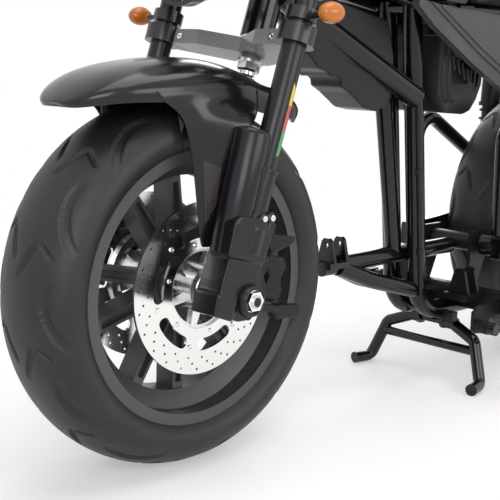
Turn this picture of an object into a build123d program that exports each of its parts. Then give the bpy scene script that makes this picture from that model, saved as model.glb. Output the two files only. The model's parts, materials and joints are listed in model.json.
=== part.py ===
from build123d import *
import math
import os

os.makedirs("parts", exist_ok=True)

# An electric motorcycle with fat 17-inch wheels, standing upright on its centre stand.
# Millimetres. While a piece is drawn, x is measured rearwards from the front axle, y is
# positive to the rider's right and z is positive upwards, with the front axle at AXLE_Z.
# Every piece is moved at the end so that the origin lies on the floor, midway between the
# two axles. With the tyres as they are, the floor is at z = 0 while a piece is drawn, too.

# ---------------------------------------------------------------- driving dimensions
WHEELBASE = 1210.0          # front axle to rear axle
REAR_LIFT = 20.0            # how far the centre stand holds the rear tyre off the floor
TYRE_R = 312.4              # outer radius of both tyres
AXLE_Z = 312.4              # front axle above the line from which the heights are drawn
FLOOR_Z = AXLE_Z - TYRE_R
TYRE_HALF_WIDTH = 91.0
TYRE_CROWN_DEPTH = 55.0     # height of the rounded tread over the widest point
TYRE_WALL = 12.0
RIM_LIP_R = 232.0           # 17-inch rim, over the flanges
RIM_HALF_WIDTH = 76.0
SEAT_GAP = 0.2              # clearance where two rigid pieces of one body seat
RUN_GAP = 0.06              # radial clearance of an axle in its hub

RAKE = 18.0                 # steering axis from the vertical, in degrees
STEM_X = 172.0              # where the steering axis passes the lower clamp
STEM_Z = 690.0
FORK_HALF_TRACK = 165.0     # fork leg centre from the middle of the bike
LEG_AHEAD = 70.0            # fork legs in front of the steering axis
STANCHION_R = 20.0
SLIDER_WALL = 4.5
SLIDER_R = STANCHION_R + SLIDER_WALL
CLAMP_SPAN = 205.0          # lower clamp to upper clamp, along the steering axis

DISC_R = 145.0
DISC_THICK = 5.0
DISC_SIDE = 75.0            # disc centre from the middle of the wheel
AXLE_R = 10.0

DOWN_TUBE_R = 20.0
DOWN_TUBE_SIDE = 32.0
SPAR_R = 23.0
RAIL_HEIGHT = 163.0         # lower rails of the frame, above the floor
LEVEL_TUBE_Z = 291.0
SWING_X = 838.0             # swingarm pivot
SWING_Z = 300.0
STAND_X = 770.0             # centre stand pivot
HALF_STANCE = 150.0         # centre stand feet from the middle
REAR_AXLE_Z = AXLE_Z + REAR_LIFT

STANDING = (Align.CENTER, Align.CENTER, Align.MIN)

pieces = {}


# ---------------------------------------------------------------- helpers
def rod(start, end, radius):
    """A straight round bar between two points."""
    start, end = Vector(*start), Vector(*end)
    along = end - start
    return Plane(origin=start, z_dir=along) * Cylinder(radius, along.length, align=STANDING)


def bent_tube(points, radius, bend):
    """A round bar whose corners are bent to one radius, or to a list of them."""
    path = FilletPolyline(*points, radius=bend)
    return sweep(Plane(origin=path @ 0, z_dir=path % 0) * Circle(radius), path)


def both_sides(make):
    """The left piece and its mirror image on the right, as two solids."""
    left = make()
    return [left, mirror(left, about=Plane.XZ)]


def side_plate(outline, y, thickness):
    """A flat plate standing along the bike: outline in (x, z), centred on y."""
    face = Plane.XZ * make_face(Polyline(*outline, close=True))
    return Pos(0, y + thickness / 2, 0) * extrude(face, thickness)


def slab(outline, half_width, rounding):
    """A closed housing: a side outline in (x, z) across the bike, its long edges rounded."""
    body = side_plate(outline, 0, 2 * half_width)
    return fillet(body.edges().filter_by(Axis.Y), rounding)


def fuse(*solids):
    total = solids[0]
    for solid in solids[1:]:
        total = total + solid
    return total


def on_axle(part, x, z):
    """Turns a wheel piece drawn about Z onto an axle across the bike; +Z becomes the left side."""
    return Pos(x, 0, z) * Rot(90, 0, 0) * part


STEERING = Pos(STEM_X, 0, STEM_Z) * Rot(0, RAKE, 0)   # z runs up the steering axis


def steering_point(x, y, z):
    """A point given along and behind the steering axis, in the bike's frame."""
    return (STEERING * Pos(x, y, z)).position


def keep(node, *solids):
    """Files the solids of one node, moved to the bike's own origin."""
    flat = []
    for solid in solids:
        flat += list(solid) if isinstance(solid, (list, tuple)) else [solid]
    bodies = []
    for item in flat:
        bodies += list((Pos(-WHEELBASE / 2, 0, -FLOOR_Z) * item).solids())
    pieces[node] = Compound(children=bodies) if len(bodies) > 1 else bodies[0]


# ---------------------------------------------------------------- wheels
def tyre():
    """A hollow tyre: an elliptical tread, sidewalls and two beads, turned about the axle."""
    widest = TYRE_R - TYRE_CROWN_DEPTH
    bead_r = RIM_LIP_R - 10 + SEAT_GAP
    flange_r = RIM_LIP_R + SEAT_GAP
    bead_out = RIM_HALF_WIDTH - 8 - SEAT_GAP
    outside = EllipticalCenterArc((widest, 0), TYRE_CROWN_DEPTH, TYRE_HALF_WIDTH,
                                  start_angle=-90, arc_size=180)
    inside = EllipticalCenterArc((widest, 0), TYRE_CROWN_DEPTH - TYRE_WALL,
                                 TYRE_HALF_WIDTH - TYRE_WALL, start_angle=-90, arc_size=180)
    side = Polyline((widest, TYRE_HALF_WIDTH), (flange_r + 4, RIM_HALF_WIDTH + 6),
                    (flange_r, RIM_HALF_WIDTH), (flange_r, bead_out), (bead_r, bead_out),
                    (bead_r, bead_out - 12), (widest, TYRE_HALF_WIDTH - TYRE_WALL))
    section = make_face(Plane.XZ * Wire([*outside.edges(), *side.edges(), *inside.edges(),
                                         *mirror(side, about=Plane.XZ).edges()]))
    return revolve(section, Axis.Z)


RIM_BARREL = 6.0
WELL_R = 190.0              # drop centre of the rim
HUB_R = 50.0
SPOKE_PAIRS = 5
SPOKE_SPREAD = 14.5         # half the angle between the two spokes of a pair
SPOKE_START = 38.0          # the first pair, from the X axis
SPOKE_DEPTH = 44.0


def rim_shell():
    """The rolled rim: flat outer flanges, bead seats and a drop centre."""
    flange_in = RIM_HALF_WIDTH - 8
    seat_r = RIM_LIP_R - 10
    half = [(RIM_LIP_R, RIM_HALF_WIDTH), (RIM_LIP_R, flange_in), (seat_r, flange_in),
            (seat_r - 4, 48), (WELL_R, 30)]
    inner = [(WELL_R - RIM_BARREL, 26), (seat_r - 4 - RIM_BARREL, 45),
             (seat_r - 1.5 - RIM_BARREL, 68), (RIM_LIP_R - 19, RIM_HALF_WIDTH)]
    outline = half + [(r, -y) for r, y in reversed(half)]
    outline += [(r, -y) for r, y in reversed(inner)] + inner
    return revolve(Plane.XZ * make_face(Polyline(*outline, close=True)), Axis.Z)


def spoke(root_r):
    """One tapering spoke with a channel sunk in each face."""
    tip_r = WELL_R - RIM_BARREL / 2
    bar = extrude(make_face(Polyline((root_r, -14), (tip_r, -11), (tip_r, 11), (root_r, 14),
                                     close=True)), SPOKE_DEPTH / 2, both=True)
    channel = make_face(Polyline((root_r + 14, -8), (tip_r - 14, -6), (tip_r - 14, 6),
                                 (root_r + 14, 8), close=True))
    for face_side in (1, -1):
        bar -= Pos(0, 0, face_side * (SPOKE_DEPTH / 2 - 9)) * extrude(channel, face_side * 12)
    return bar


def wheel(hub_outline, root_r):
    """Rim shell, five pairs of spokes and a turned hub, as one casting."""
    body = rim_shell() + revolve(Plane.XZ * make_face(Polyline(*hub_outline, close=True)), Axis.Z)
    for pair in range(SPOKE_PAIRS):
        for lean in (-SPOKE_SPREAD, SPOKE_SPREAD):
            body += Rot(0, 0, SPOKE_START + pair * 360 / SPOKE_PAIRS + lean) * spoke(root_r)
    return body


def hub_outline(radius, half_length, collar_r, bore_r):
    return [(bore_r, -half_length), (collar_r, -half_length), (collar_r, -30), (radius, -24),
            (radius, 24), (collar_r, 30), (collar_r, half_length), (bore_r, half_length)]


SLOT_COUNT = 6
SLOT_IN_R, SLOT_OUT_R = 84.0, 107.0
SLOT_HALF_ANGLE = 21.0
DISC_BORE_R = 68.0


def arc_slot(r_in, r_out, half_angle, thickness):
    """A kidney-shaped slot with rounded ends, centred on the X axis."""
    mid, half = (r_in + r_out) / 2, (r_out - r_in) / 2
    wedge = make_face(Polyline((0, 0), Vector(r_out * 2, 0).rotate(Axis.Z, -half_angle),
                               (r_out * 2, 0), Vector(r_out * 2, 0).rotate(Axis.Z, half_angle),
                               close=True))
    ring = (Circle(r_out) - Circle(r_in)) & wedge
    for end in (-half_angle, half_angle):
        ring += Rot(0, 0, end) * Pos(mid, 0, 0) * Circle(half)
    return extrude(ring, thickness / 2, both=True)


def brake_disc():
    disc = Cylinder(DISC_R, DISC_THICK) - Cylinder(DISC_BORE_R, DISC_THICK * 2)
    for index in range(SLOT_COUNT):
        turn = Rot(0, 0, 104 + index * 360 / SLOT_COUNT)
        disc -= turn * arc_slot(SLOT_IN_R, SLOT_OUT_R, SLOT_HALF_ANGLE, DISC_THICK * 2)
    return disc


CARRIER_ARMS = 6
CARRIER_HUB_R = 41.0


def disc_carrier(collar_r, inner_face):
    """The bright spider that holds a disc: a stepped ring, six arms and a hub collar."""
    outer_face = DISC_SIDE - DISC_THICK / 2 - SEAT_GAP
    ring = Pos(0, 0, outer_face - 6) * (Cylinder(DISC_BORE_R + 12, 6, align=STANDING)
                                        - Cylinder(DISC_BORE_R - 6, 6, align=STANDING))
    collar = Pos(0, 0, inner_face) * (
        Cylinder(CARRIER_HUB_R, 92 - inner_face, align=STANDING)
        - Cylinder(collar_r, 92 - inner_face, align=STANDING))
    body = ring + collar
    for index in range(CARRIER_ARMS):
        arm = extrude(make_face(Polyline((CARRIER_HUB_R - 4, -9), (DISC_BORE_R - 2, -6),
                                         (DISC_BORE_R - 2, 6), (CARRIER_HUB_R - 4, 9),
                                         close=True)), 12)
        body += Rot(0, 0, 74 + index * 360 / CARRIER_ARMS) * Pos(0, 0, outer_face - 10) * arm
    return body


def flipped(part):
    """The same turned piece on the wheel's other side."""
    return mirror(part, about=Plane.XY)


FRONT_HUB_HALF = 88.0
keep("front_tyre", on_axle(tyre(), 0, AXLE_Z))
front_wheel = wheel(hub_outline(HUB_R, FRONT_HUB_HALF, 27, AXLE_R + RUN_GAP), HUB_R - 4)
keep("front_rim", on_axle(front_wheel, 0, AXLE_Z))
left_disc = Pos(0, 0, DISC_SIDE) * brake_disc()
keep("front_discs", on_axle(left_disc, 0, AXLE_Z), on_axle(flipped(left_disc), 0, AXLE_Z))
front_carrier = disc_carrier(27 + SEAT_GAP, 40)
keep("front_disc_carriers", on_axle(front_carrier, 0, AXLE_Z),
     on_axle(flipped(front_carrier), 0, AXLE_Z))

MOTOR_R = 112.0
MOTOR_HALF = 56.0
REAR_HUB_HALF = 88.0
keep("rear_tyre", on_axle(tyre(), WHEELBASE, REAR_AXLE_Z))
rear_wheel = wheel([(MOTOR_R + SEAT_GAP, -30), (MOTOR_R + 12, -24), (MOTOR_R + 12, 24),
                    (MOTOR_R + SEAT_GAP, 30)], MOTOR_R + 8)
keep("rear_rim", on_axle(rear_wheel, WHEELBASE, REAR_AXLE_Z))
motor_outline = [(AXLE_R + RUN_GAP, -REAR_HUB_HALF), (34, -REAR_HUB_HALF), (36, -MOTOR_HALF - 4),
                 (MOTOR_R - 14, -MOTOR_HALF), (MOTOR_R, -MOTOR_HALF + 14),
                 (MOTOR_R, MOTOR_HALF - 14), (MOTOR_R - 14, MOTOR_HALF), (36, MOTOR_HALF + 4),
                 (34, REAR_HUB_HALF), (AXLE_R + RUN_GAP, REAR_HUB_HALF)]
keep("hub_motor", on_axle(revolve(Plane.XZ * make_face(Polyline(*motor_outline, close=True)),
                                  Axis.Z), WHEELBASE, REAR_AXLE_Z))
rear_spider = Pos(0, 0, DISC_SIDE - DISC_THICK / 2 - SEAT_GAP - 6) * (
    Cylinder(DISC_BORE_R + 12, 6, align=STANDING) - Cylinder(36 + SEAT_GAP, 6, align=STANDING))
keep("rear_disc", on_axle(Pos(0, 0, DISC_SIDE) * brake_disc(), WHEELBASE, REAR_AXLE_Z),
     on_axle(rear_spider, WHEELBASE, REAR_AXLE_Z))

# ---------------------------------------------------------------- fork
AXLE_BACK = -LEG_AHEAD                                   # leg line in steering coordinates
SLIDER_TOP = -205.0
SLIDER_FOOT = -350.0
STANCHION_TOP = CLAMP_SPAN + 28
CLAMP_THICK = 26.0


def stanchion():
    body = Cylinder(STANCHION_R, STANCHION_TOP - SLIDER_TOP + 20, align=STANDING)
    return STEERING * Pos(AXLE_BACK, -FORK_HALF_TRACK, SLIDER_TOP - 20) * body


BLOCK_FRONT, BLOCK_BACK = -50.0, 27.0
BLOCK_IN, BLOCK_OUT = 136.0, 184.0
BLOCK_FOOT, BLOCK_TOP = AXLE_Z - 26, AXLE_Z + 72


PINCH_FOOT, PINCH_HEIGHT = SLIDER_FOOT - 2, 74.0        # the clamp that grips the slider's foot
PINCH_LENGTH, PINCH_WIDTH = 60.0, 48.0
PINCH_BOLT_R = 5.5


def pinch_room(clearance):
    """What the clamp and its collar fill on the left leg, with a clearance all round."""
    block = Pos(6, 0, PINCH_FOOT - clearance) * Box(
        PINCH_LENGTH + 14 + 2 * clearance, PINCH_WIDTH + 2 * clearance,
        PINCH_HEIGHT + 2 * clearance, align=STANDING)
    collar = Pos(0, 0, SLIDER_FOOT - 4) * Cylinder(SLIDER_R + 6 + clearance, 60, align=STANDING)
    return STEERING * Pos(AXLE_BACK, -FORK_HALF_TRACK, 0) * (block + collar)


def slider():
    """A fork slider: bored tube, the pinch clamp round its foot and the axle block below."""
    tube = Cylinder(SLIDER_R, SLIDER_TOP - SLIDER_FOOT, align=STANDING)
    tube += Pos(0, 0, SLIDER_TOP - SLIDER_FOOT - 6) * Cylinder(SLIDER_R + 1.6, 6, align=STANDING)
    tube -= Pos(0, 0, SLIDER_TOP - SLIDER_FOOT - 22) * Cylinder(STANCHION_R + SEAT_GAP, 30,
                                                                align=STANDING)
    pinch = Pos(6, 0, PINCH_FOOT - SLIDER_FOOT) * Box(PINCH_LENGTH, PINCH_WIDTH, PINCH_HEIGHT,
                                                      align=STANDING)
    pinch = fillet(pinch.edges().filter_by(Axis.Z), 16)
    pinch = fillet(pinch.faces().sort_by(Axis.Z)[-1].edges(), 4)
    collar = Pos(0, 0, PINCH_FOOT - SLIDER_FOOT + 14) * Cylinder(SLIDER_R + 6, 30, align=STANDING)
    for height in (14, 36):
        pinch += Pos(6 + PINCH_LENGTH / 2 - 3, 0, PINCH_HEIGHT - height) * Rot(90, 0, 0) * Cylinder(
            PINCH_BOLT_R + 3, PINCH_WIDTH - 8)
    pinch -= Pos(6 + PINCH_LENGTH / 2, 0, PINCH_HEIGHT - 52) * Box(20, 3, 60, align=STANDING)
    leg = STEERING * Pos(AXLE_BACK, -FORK_HALF_TRACK, SLIDER_FOOT) * (tube + pinch + collar)
    outline = [(BLOCK_FRONT - 4, AXLE_Z - 8), (BLOCK_FRONT - 4, AXLE_Z + 22), (BLOCK_FRONT + 6, AXLE_Z + 30),
               (BLOCK_FRONT + 10, BLOCK_TOP), (BLOCK_BACK + 6, BLOCK_TOP + 4), (BLOCK_BACK + 2, AXLE_Z + 22),
               (BLOCK_BACK, AXLE_Z), (BLOCK_BACK - 8, BLOCK_FOOT + 6), (0, BLOCK_FOOT),
               (BLOCK_FRONT + 8, BLOCK_FOOT)]
    block = side_plate(outline, -(BLOCK_IN + BLOCK_OUT) / 2, BLOCK_OUT - BLOCK_IN)
    block = fillet(block.edges().filter_by(Axis.Y), 4.5)
    recess = Pos(BLOCK_FRONT + 6, -(BLOCK_IN + BLOCK_OUT) / 2 - 2, AXLE_Z + 50) * Box(26, 30, 30)
    boss = rod((0, -BLOCK_OUT - 6, AXLE_Z), (0, -BLOCK_IN + 8, AXLE_Z), 27)
    boss -= rod((0, -BLOCK_OUT - 20, AXLE_Z), (0, -BLOCK_OUT, AXLE_Z), 21)
    bore = rod((0, -BLOCK_OUT - 20, AXLE_Z), (0, -BLOCK_IN + 20, AXLE_Z), AXLE_R + SEAT_GAP)
    ring = rod((0, -BLOCK_OUT - 6, AXLE_Z), (0, -BLOCK_OUT + 1, AXLE_Z), 21)
    return leg + (block - recess) + boss + ring - bore


keep("fork_stanchions", both_sides(stanchion))
keep("fork_sliders", both_sides(slider))

NUT_R, WASHER_R = AXLE_R + 7, AXLE_R + 10
NUT_FACE = BLOCK_OUT + 6 + SEAT_GAP
axle = rod((0, -NUT_FACE - 12, AXLE_Z), (0, NUT_FACE + 12, AXLE_Z), AXLE_R)
for side in (-1, 1):
    hexagon = extrude(RegularPolygon(NUT_R, 6), 9)
    washer = Cylinder(WASHER_R, 2.5, align=STANDING)
    nut = washer + Pos(0, 0, 2.5) * hexagon
    axle += Pos(0, side * NUT_FACE, AXLE_Z) * Rot(-90 * side, 0, 0) * nut
    spacer_in = FRONT_HUB_HALF + 1
    spacer_out = BLOCK_IN - 8 - SEAT_GAP
    axle += rod((0, side * spacer_in, AXLE_Z), (0, side * spacer_out, AXLE_Z), AXLE_R + 5)
keep("front_axle", axle)


def clamp(height, reach, with_stem):
    """A triple clamp: two split rings on the legs and a waisted bridge round the stem."""
    half = FORK_HALF_TRACK
    outline = Polyline((-LEG_AHEAD - 6, -half), (-LEG_AHEAD - 2, -70), (-34, 0), (-LEG_AHEAD - 2, 70),
                       (-LEG_AHEAD - 6, half), (-LEG_AHEAD + 26, half), (reach - 18, 52),
                       (reach, 0), (reach - 18, -52), (-LEG_AHEAD + 26, -half), close=True)
    bridge = extrude(make_face(outline), CLAMP_THICK)
    for side in (-1, 1):
        bridge += Pos(-LEG_AHEAD, side * half, 0) * Cylinder(STANCHION_R + 12, CLAMP_THICK + 4,
                                                             align=STANDING)
    for side in (-1, 1):
        bridge -= Pos(-LEG_AHEAD, side * half, -5) * Cylinder(STANCHION_R + SEAT_GAP,
                                                              CLAMP_THICK + 20, align=STANDING)
    if with_stem:
        bridge += Pos(0, 0, 2) * Cylinder(15, CLAMP_SPAN + 34, align=STANDING)
        bridge += Pos(0, 0, -14) * Cylinder(17, 15, align=STANDING)
    else:
        bridge -= Pos(0, 0, -5) * Cylinder(15 + SEAT_GAP, CLAMP_THICK + 20, align=STANDING)
    return STEERING * Pos(0, 0, height) * bridge


keep("lower_clamp", clamp(0, 44, True))
keep("upper_clamp", clamp(CLAMP_SPAN, 40, False))

# ---------------------------------------------------------------- front fender and fork guards
FENDER_GAP = 53.6           # tyre to the inside of the crown
FENDER_R = TYRE_R + FENDER_GAP
FENDER_WALL = 4.0
FENDER_HALF = TYRE_HALF_WIDTH + 19
# sections of the crown by their angle about the axle: how far the crown stands off its
# radius, its half width and how deep its sides hang; the first is the front tip
FENDER_SECTIONS = [(128.5, 17, 10, 6), (126.5, 21, 58, 20), (121, 23, 86, 38), (114.5, 20, 101, 53),
                   (107, 13, 107, 62), (95, 6, FENDER_HALF, 66), (80, 0, FENDER_HALF, 66),
                   (66, 0, 108, 60), (57, 3, 104, 50)]


def crown_section(angle, crown_r, half, depth, sill):
    """A filled arch on the plane through the axle at one angle; sill lowers its feet."""
    arch = Spline((crown_r - depth, -half), (crown_r - depth * 0.42, -half * 0.94),
                  (crown_r - depth * 0.1, -half * 0.6), (crown_r, 0),
                  (crown_r - depth * 0.1, half * 0.6), (crown_r - depth * 0.42, half * 0.94),
                  (crown_r - depth, half))
    foot_r = crown_r - depth - sill
    closing = Polyline((crown_r - depth, half), (foot_r - 0.1, half), (foot_r - 0.1, -half),
                       (crown_r - depth, -half))
    face = make_face(Wire([arch.edge(), *closing.edges()]))
    return Pos(0, 0, AXLE_Z) * Rot(0, -angle, 0) * face


def fender():
    """The crown: a lofted shell that narrows and stands off the tyre towards its front tip."""
    outer = loft([crown_section(angle, FENDER_R + stand_off + FENDER_WALL, half, depth, 0)
                  for angle, stand_off, half, depth in FENDER_SECTIONS])
    hollow = [crown_section(angle, FENDER_R + stand_off, half - FENDER_WALL, depth - FENDER_WALL, 8)
              for angle, stand_off, half, depth in FENDER_SECTIONS[1:]]
    last_angle, stand_off, half, depth = FENDER_SECTIONS[-1]
    hollow.append(crown_section(last_angle - 3, FENDER_R + stand_off, half - FENDER_WALL,
                                depth - FENDER_WALL, 8))
    return outer - loft(hollow)


GUARD_R = 28.0
GUARD_WALL = 3.5
GUARD_AHEAD, GUARD_INWARD = 30.0, 7.0       # guard centre from the leg's own axis
GUARD_FOOT, GUARD_LENGTH = -318.0, 216.0    # along the steering axis
LEG_YAW = 26.0                              # the fender's legs flare outwards to the guards
LEG_FRONT = (-60.0, -FENDER_HALF + 3)


def fender_leg():
    """A flared side leg that ends in a half-round fork guard with two screw bosses."""
    outline = [(-44, 634), (-30, 622), (-22, 604), (-16, 570), (-8, 523), (4, 467), (18, 418), (38, 380),
               (58, 368), (64, 400), (76, 520), (82, 588), (24, 632)]
    leg = Pos(LEG_FRONT[0], LEG_FRONT[1], 0) * Rot(0, 0, -LEG_YAW) * side_plate(
        outline, 0, FENDER_WALL)
    ledge = Pos(LEG_FRONT[0], LEG_FRONT[1], 0) * Rot(0, 0, -LEG_YAW) * side_plate(
        [(-8, 632), (24, 632), (82, 588), (81, 576), (20, 620), (-8, 622)], 2, 2 * FENDER_WALL)
    leg += ledge
    shell = Cylinder(GUARD_R, GUARD_LENGTH, align=STANDING)
    shell -= Cylinder(GUARD_R - GUARD_WALL, GUARD_LENGTH, align=STANDING)
    shell -= Pos(GUARD_R, 0, 0) * Box(2 * GUARD_R, 3 * GUARD_R, GUARD_LENGTH, align=STANDING)
    for height in (34, GUARD_LENGTH - 60):
        boss = Pos(-GUARD_R + GUARD_WALL / 2, -GUARD_INWARD, height) * Rot(0, 90, 0) * Cylinder(
            6, GUARD_AHEAD + GUARD_R - GUARD_WALL / 2 - SLIDER_R - SEAT_GAP, align=STANDING)
        shell += boss
    half_disc = Cylinder(GUARD_R, GUARD_WALL, align=STANDING) - Pos(GUARD_R, 0, 0) * Box(
        2 * GUARD_R, 3 * GUARD_R, GUARD_LENGTH, align=STANDING)
    cap = half_disc - Pos(GUARD_AHEAD, -GUARD_INWARD, 0) * Cylinder(SLIDER_R + 4, 3 * GUARD_WALL)
    shell += Pos(0, 0, GUARD_LENGTH - GUARD_WALL) * cap
    guard = STEERING * Pos(-LEG_AHEAD - GUARD_AHEAD, -FORK_HALF_TRACK + GUARD_INWARD,
                           GUARD_FOOT) * shell
    inside = STEERING * Pos(-LEG_AHEAD - GUARD_AHEAD, -FORK_HALF_TRACK + GUARD_INWARD,
                            GUARD_FOOT - 30) * Cylinder(GUARD_R - GUARD_WALL, 280, align=STANDING)
    return (leg - inside) + guard - pinch_room(SEAT_GAP)


shield = fender()
for leg in both_sides(fender_leg):
    shield = shield + leg
keep("front_fender", shield)

# ---------------------------------------------------------------- brake calipers
CALIPER_GAP = 1.0           # disc to pad, each side
BOOT_R = 9.5                # rubber boots of the two guide pins


def caliper(outer_y, inner_y):
    """A caliper straddling the left disc between two planes: bridge, pad window, piston caps."""
    outline = [(92, 40), (98, 62), (114, 84), (134, 90), (156, 76), (170, 44), (165, 18), (171, -8),
               (166, -40), (154, -68), (132, -84), (112, -78), (97, -58), (92, -40)]
    body = side_plate(outline, (outer_y + inner_y) / 2, inner_y - outer_y)
    body = fillet(body.edges().filter_by(Axis.Y), 3)
    slot = Pos(0, -DISC_SIDE, 0) * Rot(90, 0, 0) * Cylinder(DISC_R + 4,
                                                            DISC_THICK + 2 * CALIPER_GAP)
    window = Pos(150, -DISC_SIDE, 2) * Box(60, 20, 44)
    body -= window
    for height in (-42, 44):
        body += rod((128, outer_y - 5, height), (128, outer_y + 2, height), 21)
        body -= rod((128, outer_y - 6, height), (128, outer_y - 2, height), 14)
    return body - slot


def front_caliper():
    """Caliper, its bracket on the inner face of the axle block and two long bracket arms."""
    body = Pos(0, 0, AXLE_Z) * caliper(-114, -60)
    bracket_y = -BLOCK_IN + SEAT_GAP + 12
    bracket = side_plate([(2, 348), (2, 380), (30, 404), (62, 408), (124, 396), (132, 330),
                          (124, 236), (96, 232), (84, 300), (58, 340)], bracket_y, 24)
    bracket -= rod((0, -BLOCK_OUT, AXLE_Z), (0, 0, AXLE_Z), 24)
    arms = [rod((44, bracket_y, 388), (112, bracket_y, 392), 7),
            rod((104, bracket_y, 391), (196, bracket_y, 404), BOOT_R),
            rod((96, bracket_y, 258), (130, bracket_y, 256), 7),
            rod((124, bracket_y, 256), (206, bracket_y, 250), BOOT_R)]
    piece = fuse(body, bracket, *arms)
    return max((piece - pinch_room(SEAT_GAP)).solids(), key=lambda solid: solid.volume)


keep("front_calipers", both_sides(front_caliper))

# ---------------------------------------------------------------- cockpit
BAR_Z = CLAMP_SPAN + CLAMP_THICK + 4 + 34      # bar centre above the lower clamp
BAR_R = 11.0
BAR_MIDDLE_R = 12.7         # the thicker stretch that the risers grip


def bar_point(x, y, z):
    at = steering_point(x, y, z)
    return (at.X, at.Y, at.Z)


BAR_RISE = [bar_point(-20, -60, BAR_Z), bar_point(-14, -130, BAR_Z + 8),
            bar_point(-2, -192, BAR_Z + 60), bar_point(52, -365, BAR_Z + 66)]
bar_line = list(reversed(BAR_RISE)) + [(x, -y, z) for x, y, z in BAR_RISE]
handlebar = bent_tube(bar_line[:3] + bar_line[5:], BAR_R, 45)
bar_middle = bar_point(-14, 0, BAR_Z + 8)
handlebar += rod((bar_middle[0], -72, bar_middle[2]), (bar_middle[0], 72, bar_middle[2]), BAR_MIDDLE_R)
for side in (-1, 1):
    handlebar += STEERING * Pos(-18, side * 45, CLAMP_SPAN + CLAMP_THICK + SEAT_GAP) * Box(
        34, 26, 50, align=STANDING)
keep("handlebar", handlebar)


def hand_grip():
    inner, outer = Vector(*BAR_RISE[2]), Vector(*BAR_RISE[3])
    along = (outer - inner).normalized()
    length = (outer - inner).length
    start, end = outer - along * 122, outer + along * 6
    plane = Plane(origin=start, z_dir=along)
    grip = plane * (Cylinder(17, 128, align=STANDING) + Cylinder(20, 6, align=STANDING)
                    + Pos(0, 0, 122) * Cylinder(19, 6, align=STANDING))
    return grip - plane * Pos(0, 0, -2) * Cylinder(BAR_R + SEAT_GAP, 124 + 0.2, align=STANDING)


keep("hand_grips", both_sides(hand_grip))


def brake_lever():
    inner, outer = Vector(*BAR_RISE[2]), Vector(*BAR_RISE[3])
    along = (outer - inner).normalized()
    start = outer - along * 124
    base = Plane(origin=start, z_dir=-along) * (
        Cylinder(19, 22, align=STANDING) - Cylinder(BAR_R + SEAT_GAP, 30, align=STANDING))
    front = start - along * 11 + Vector(-22, 0, 2)
    pivot = rod((front.X + 7, front.Y, front.Z), (front.X - 14, front.Y, front.Z), 9)
    knee = front + along * 40 + Vector(-22, 0, -4)
    tip = front + along * 142 + Vector(-14, 0, -6)
    blade = bent_tube([(front.X - 4, front.Y, front.Z), (knee.X, knee.Y, knee.Z),
                       (tip.X, tip.Y, tip.Z)], 5.5, 26)
    return fuse(base, pivot, blade)


keep("brake_levers", both_sides(brake_lever))


def mirror_arm():
    """A round-headed mirror on a bent stalk."""
    inner, outer = Vector(*BAR_RISE[2]), Vector(*BAR_RISE[3])
    along = (outer - inner).normalized()
    foot = outer - along * 154
    clampring = Plane(origin=foot, z_dir=-along) * (
        Cylinder(17, 10, align=STANDING) - Cylinder(BAR_R + SEAT_GAP, 20, align=STANDING))
    base = foot - along * 5 + Vector(0, 0, 14)
    top = base + Vector(26, -52, 118)
    stalk = bent_tube([(base.X, base.Y, base.Z), (base.X - 6, base.Y - 4, base.Z + 60),
                       (top.X, top.Y, top.Z)], 5, 30)
    head = Pos(top.X + 4, top.Y - 42, top.Z + 18) * Rot(0, 0, -8) * scale(
        Sphere(1), (13, 62, 38))
    return fuse(clampring, stalk, head)


keep("mirrors", both_sides(mirror_arm))

LAMP_R = 88.0
LAMP_AT = (-176.0, 0.0, 118.0)                 # lamp centre in steering coordinates


def lamp_frame(part):
    at = steering_point(*LAMP_AT)
    return Pos(at.X, 0, at.Z) * Rot(0, -90, 0) * part


def headlight():
    """A bucket: a turned bowl with a bezel, on two ears that reach the legs."""
    bowl = make_face(Polyline((0, -58), (44, -50), (72, -26), (LAMP_R - 4, 8), (LAMP_R, 18),
                              (LAMP_R, 40), (LAMP_R - 8, 40), (LAMP_R - 8, 20),
                              (66, -20), (40, -42), (0, -50), close=True))
    bucket = lamp_frame(revolve(Plane.XZ * bowl, Axis.Z))
    return bucket


def lamp_ear():
    at = steering_point(*LAMP_AT)
    leg = steering_point(-LEG_AHEAD - 12, -FORK_HALF_TRACK + 30, LAMP_AT[2] - 10)
    ear = bent_tube([(at.X + 8, -76, at.Z), (leg.X - 30, -106, leg.Z),
                     (leg.X + 4, leg.Y - 12, leg.Z)], 8, 20)
    ring = STEERING * Pos(-LEG_AHEAD, -FORK_HALF_TRACK, LAMP_AT[2] - 34) * (
        Cylinder(STANCHION_R + 8, 30, align=STANDING)
        - Cylinder(STANCHION_R + SEAT_GAP, 40, align=STANDING))
    return (ear + ring) - STEERING * Pos(-LEG_AHEAD, -FORK_HALF_TRACK, LAMP_AT[2] - 60) * Cylinder(
        STANCHION_R + SEAT_GAP, 90, align=STANDING)


lamp_shell = headlight()
for arm in both_sides(lamp_ear):
    lamp_shell = lamp_shell + arm
keep("headlight_bucket", lamp_shell)

lens_dome = Pos(0, 0, 26) * (Cylinder(LAMP_R - 8 - SEAT_GAP, 8, align=STANDING)
                             + Pos(0, 0, 8) * scale(Sphere(1), (LAMP_R - 8 - SEAT_GAP,
                                                               LAMP_R - 8 - SEAT_GAP, 12)))
keep("headlight_lens", lamp_frame(lens_dome))

dash = Box(26, 150, 84)
dash = fillet(dash.edges().filter_by(Axis.X), 14)
dash = chamfer(dash.faces().sort_by(Axis.X)[-1].edges(), 4)
DASH_AT = (-92.0, 0.0, CLAMP_SPAN + 78)
dash_foot = STEERING * Pos(-29, 0, CLAMP_SPAN + CLAMP_THICK + SEAT_GAP) * Box(20, 40, 16, align=STANDING)
dash_place = STEERING * Pos(*DASH_AT) * Rot(0, -38, 0)
keep("instrument_panel", dash_place * dash + dash_foot
     + rod(tuple(steering_point(-28, 0, CLAMP_SPAN + 38)), tuple(steering_point(-88, 0, CLAMP_SPAN + 74)), 8))


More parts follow.
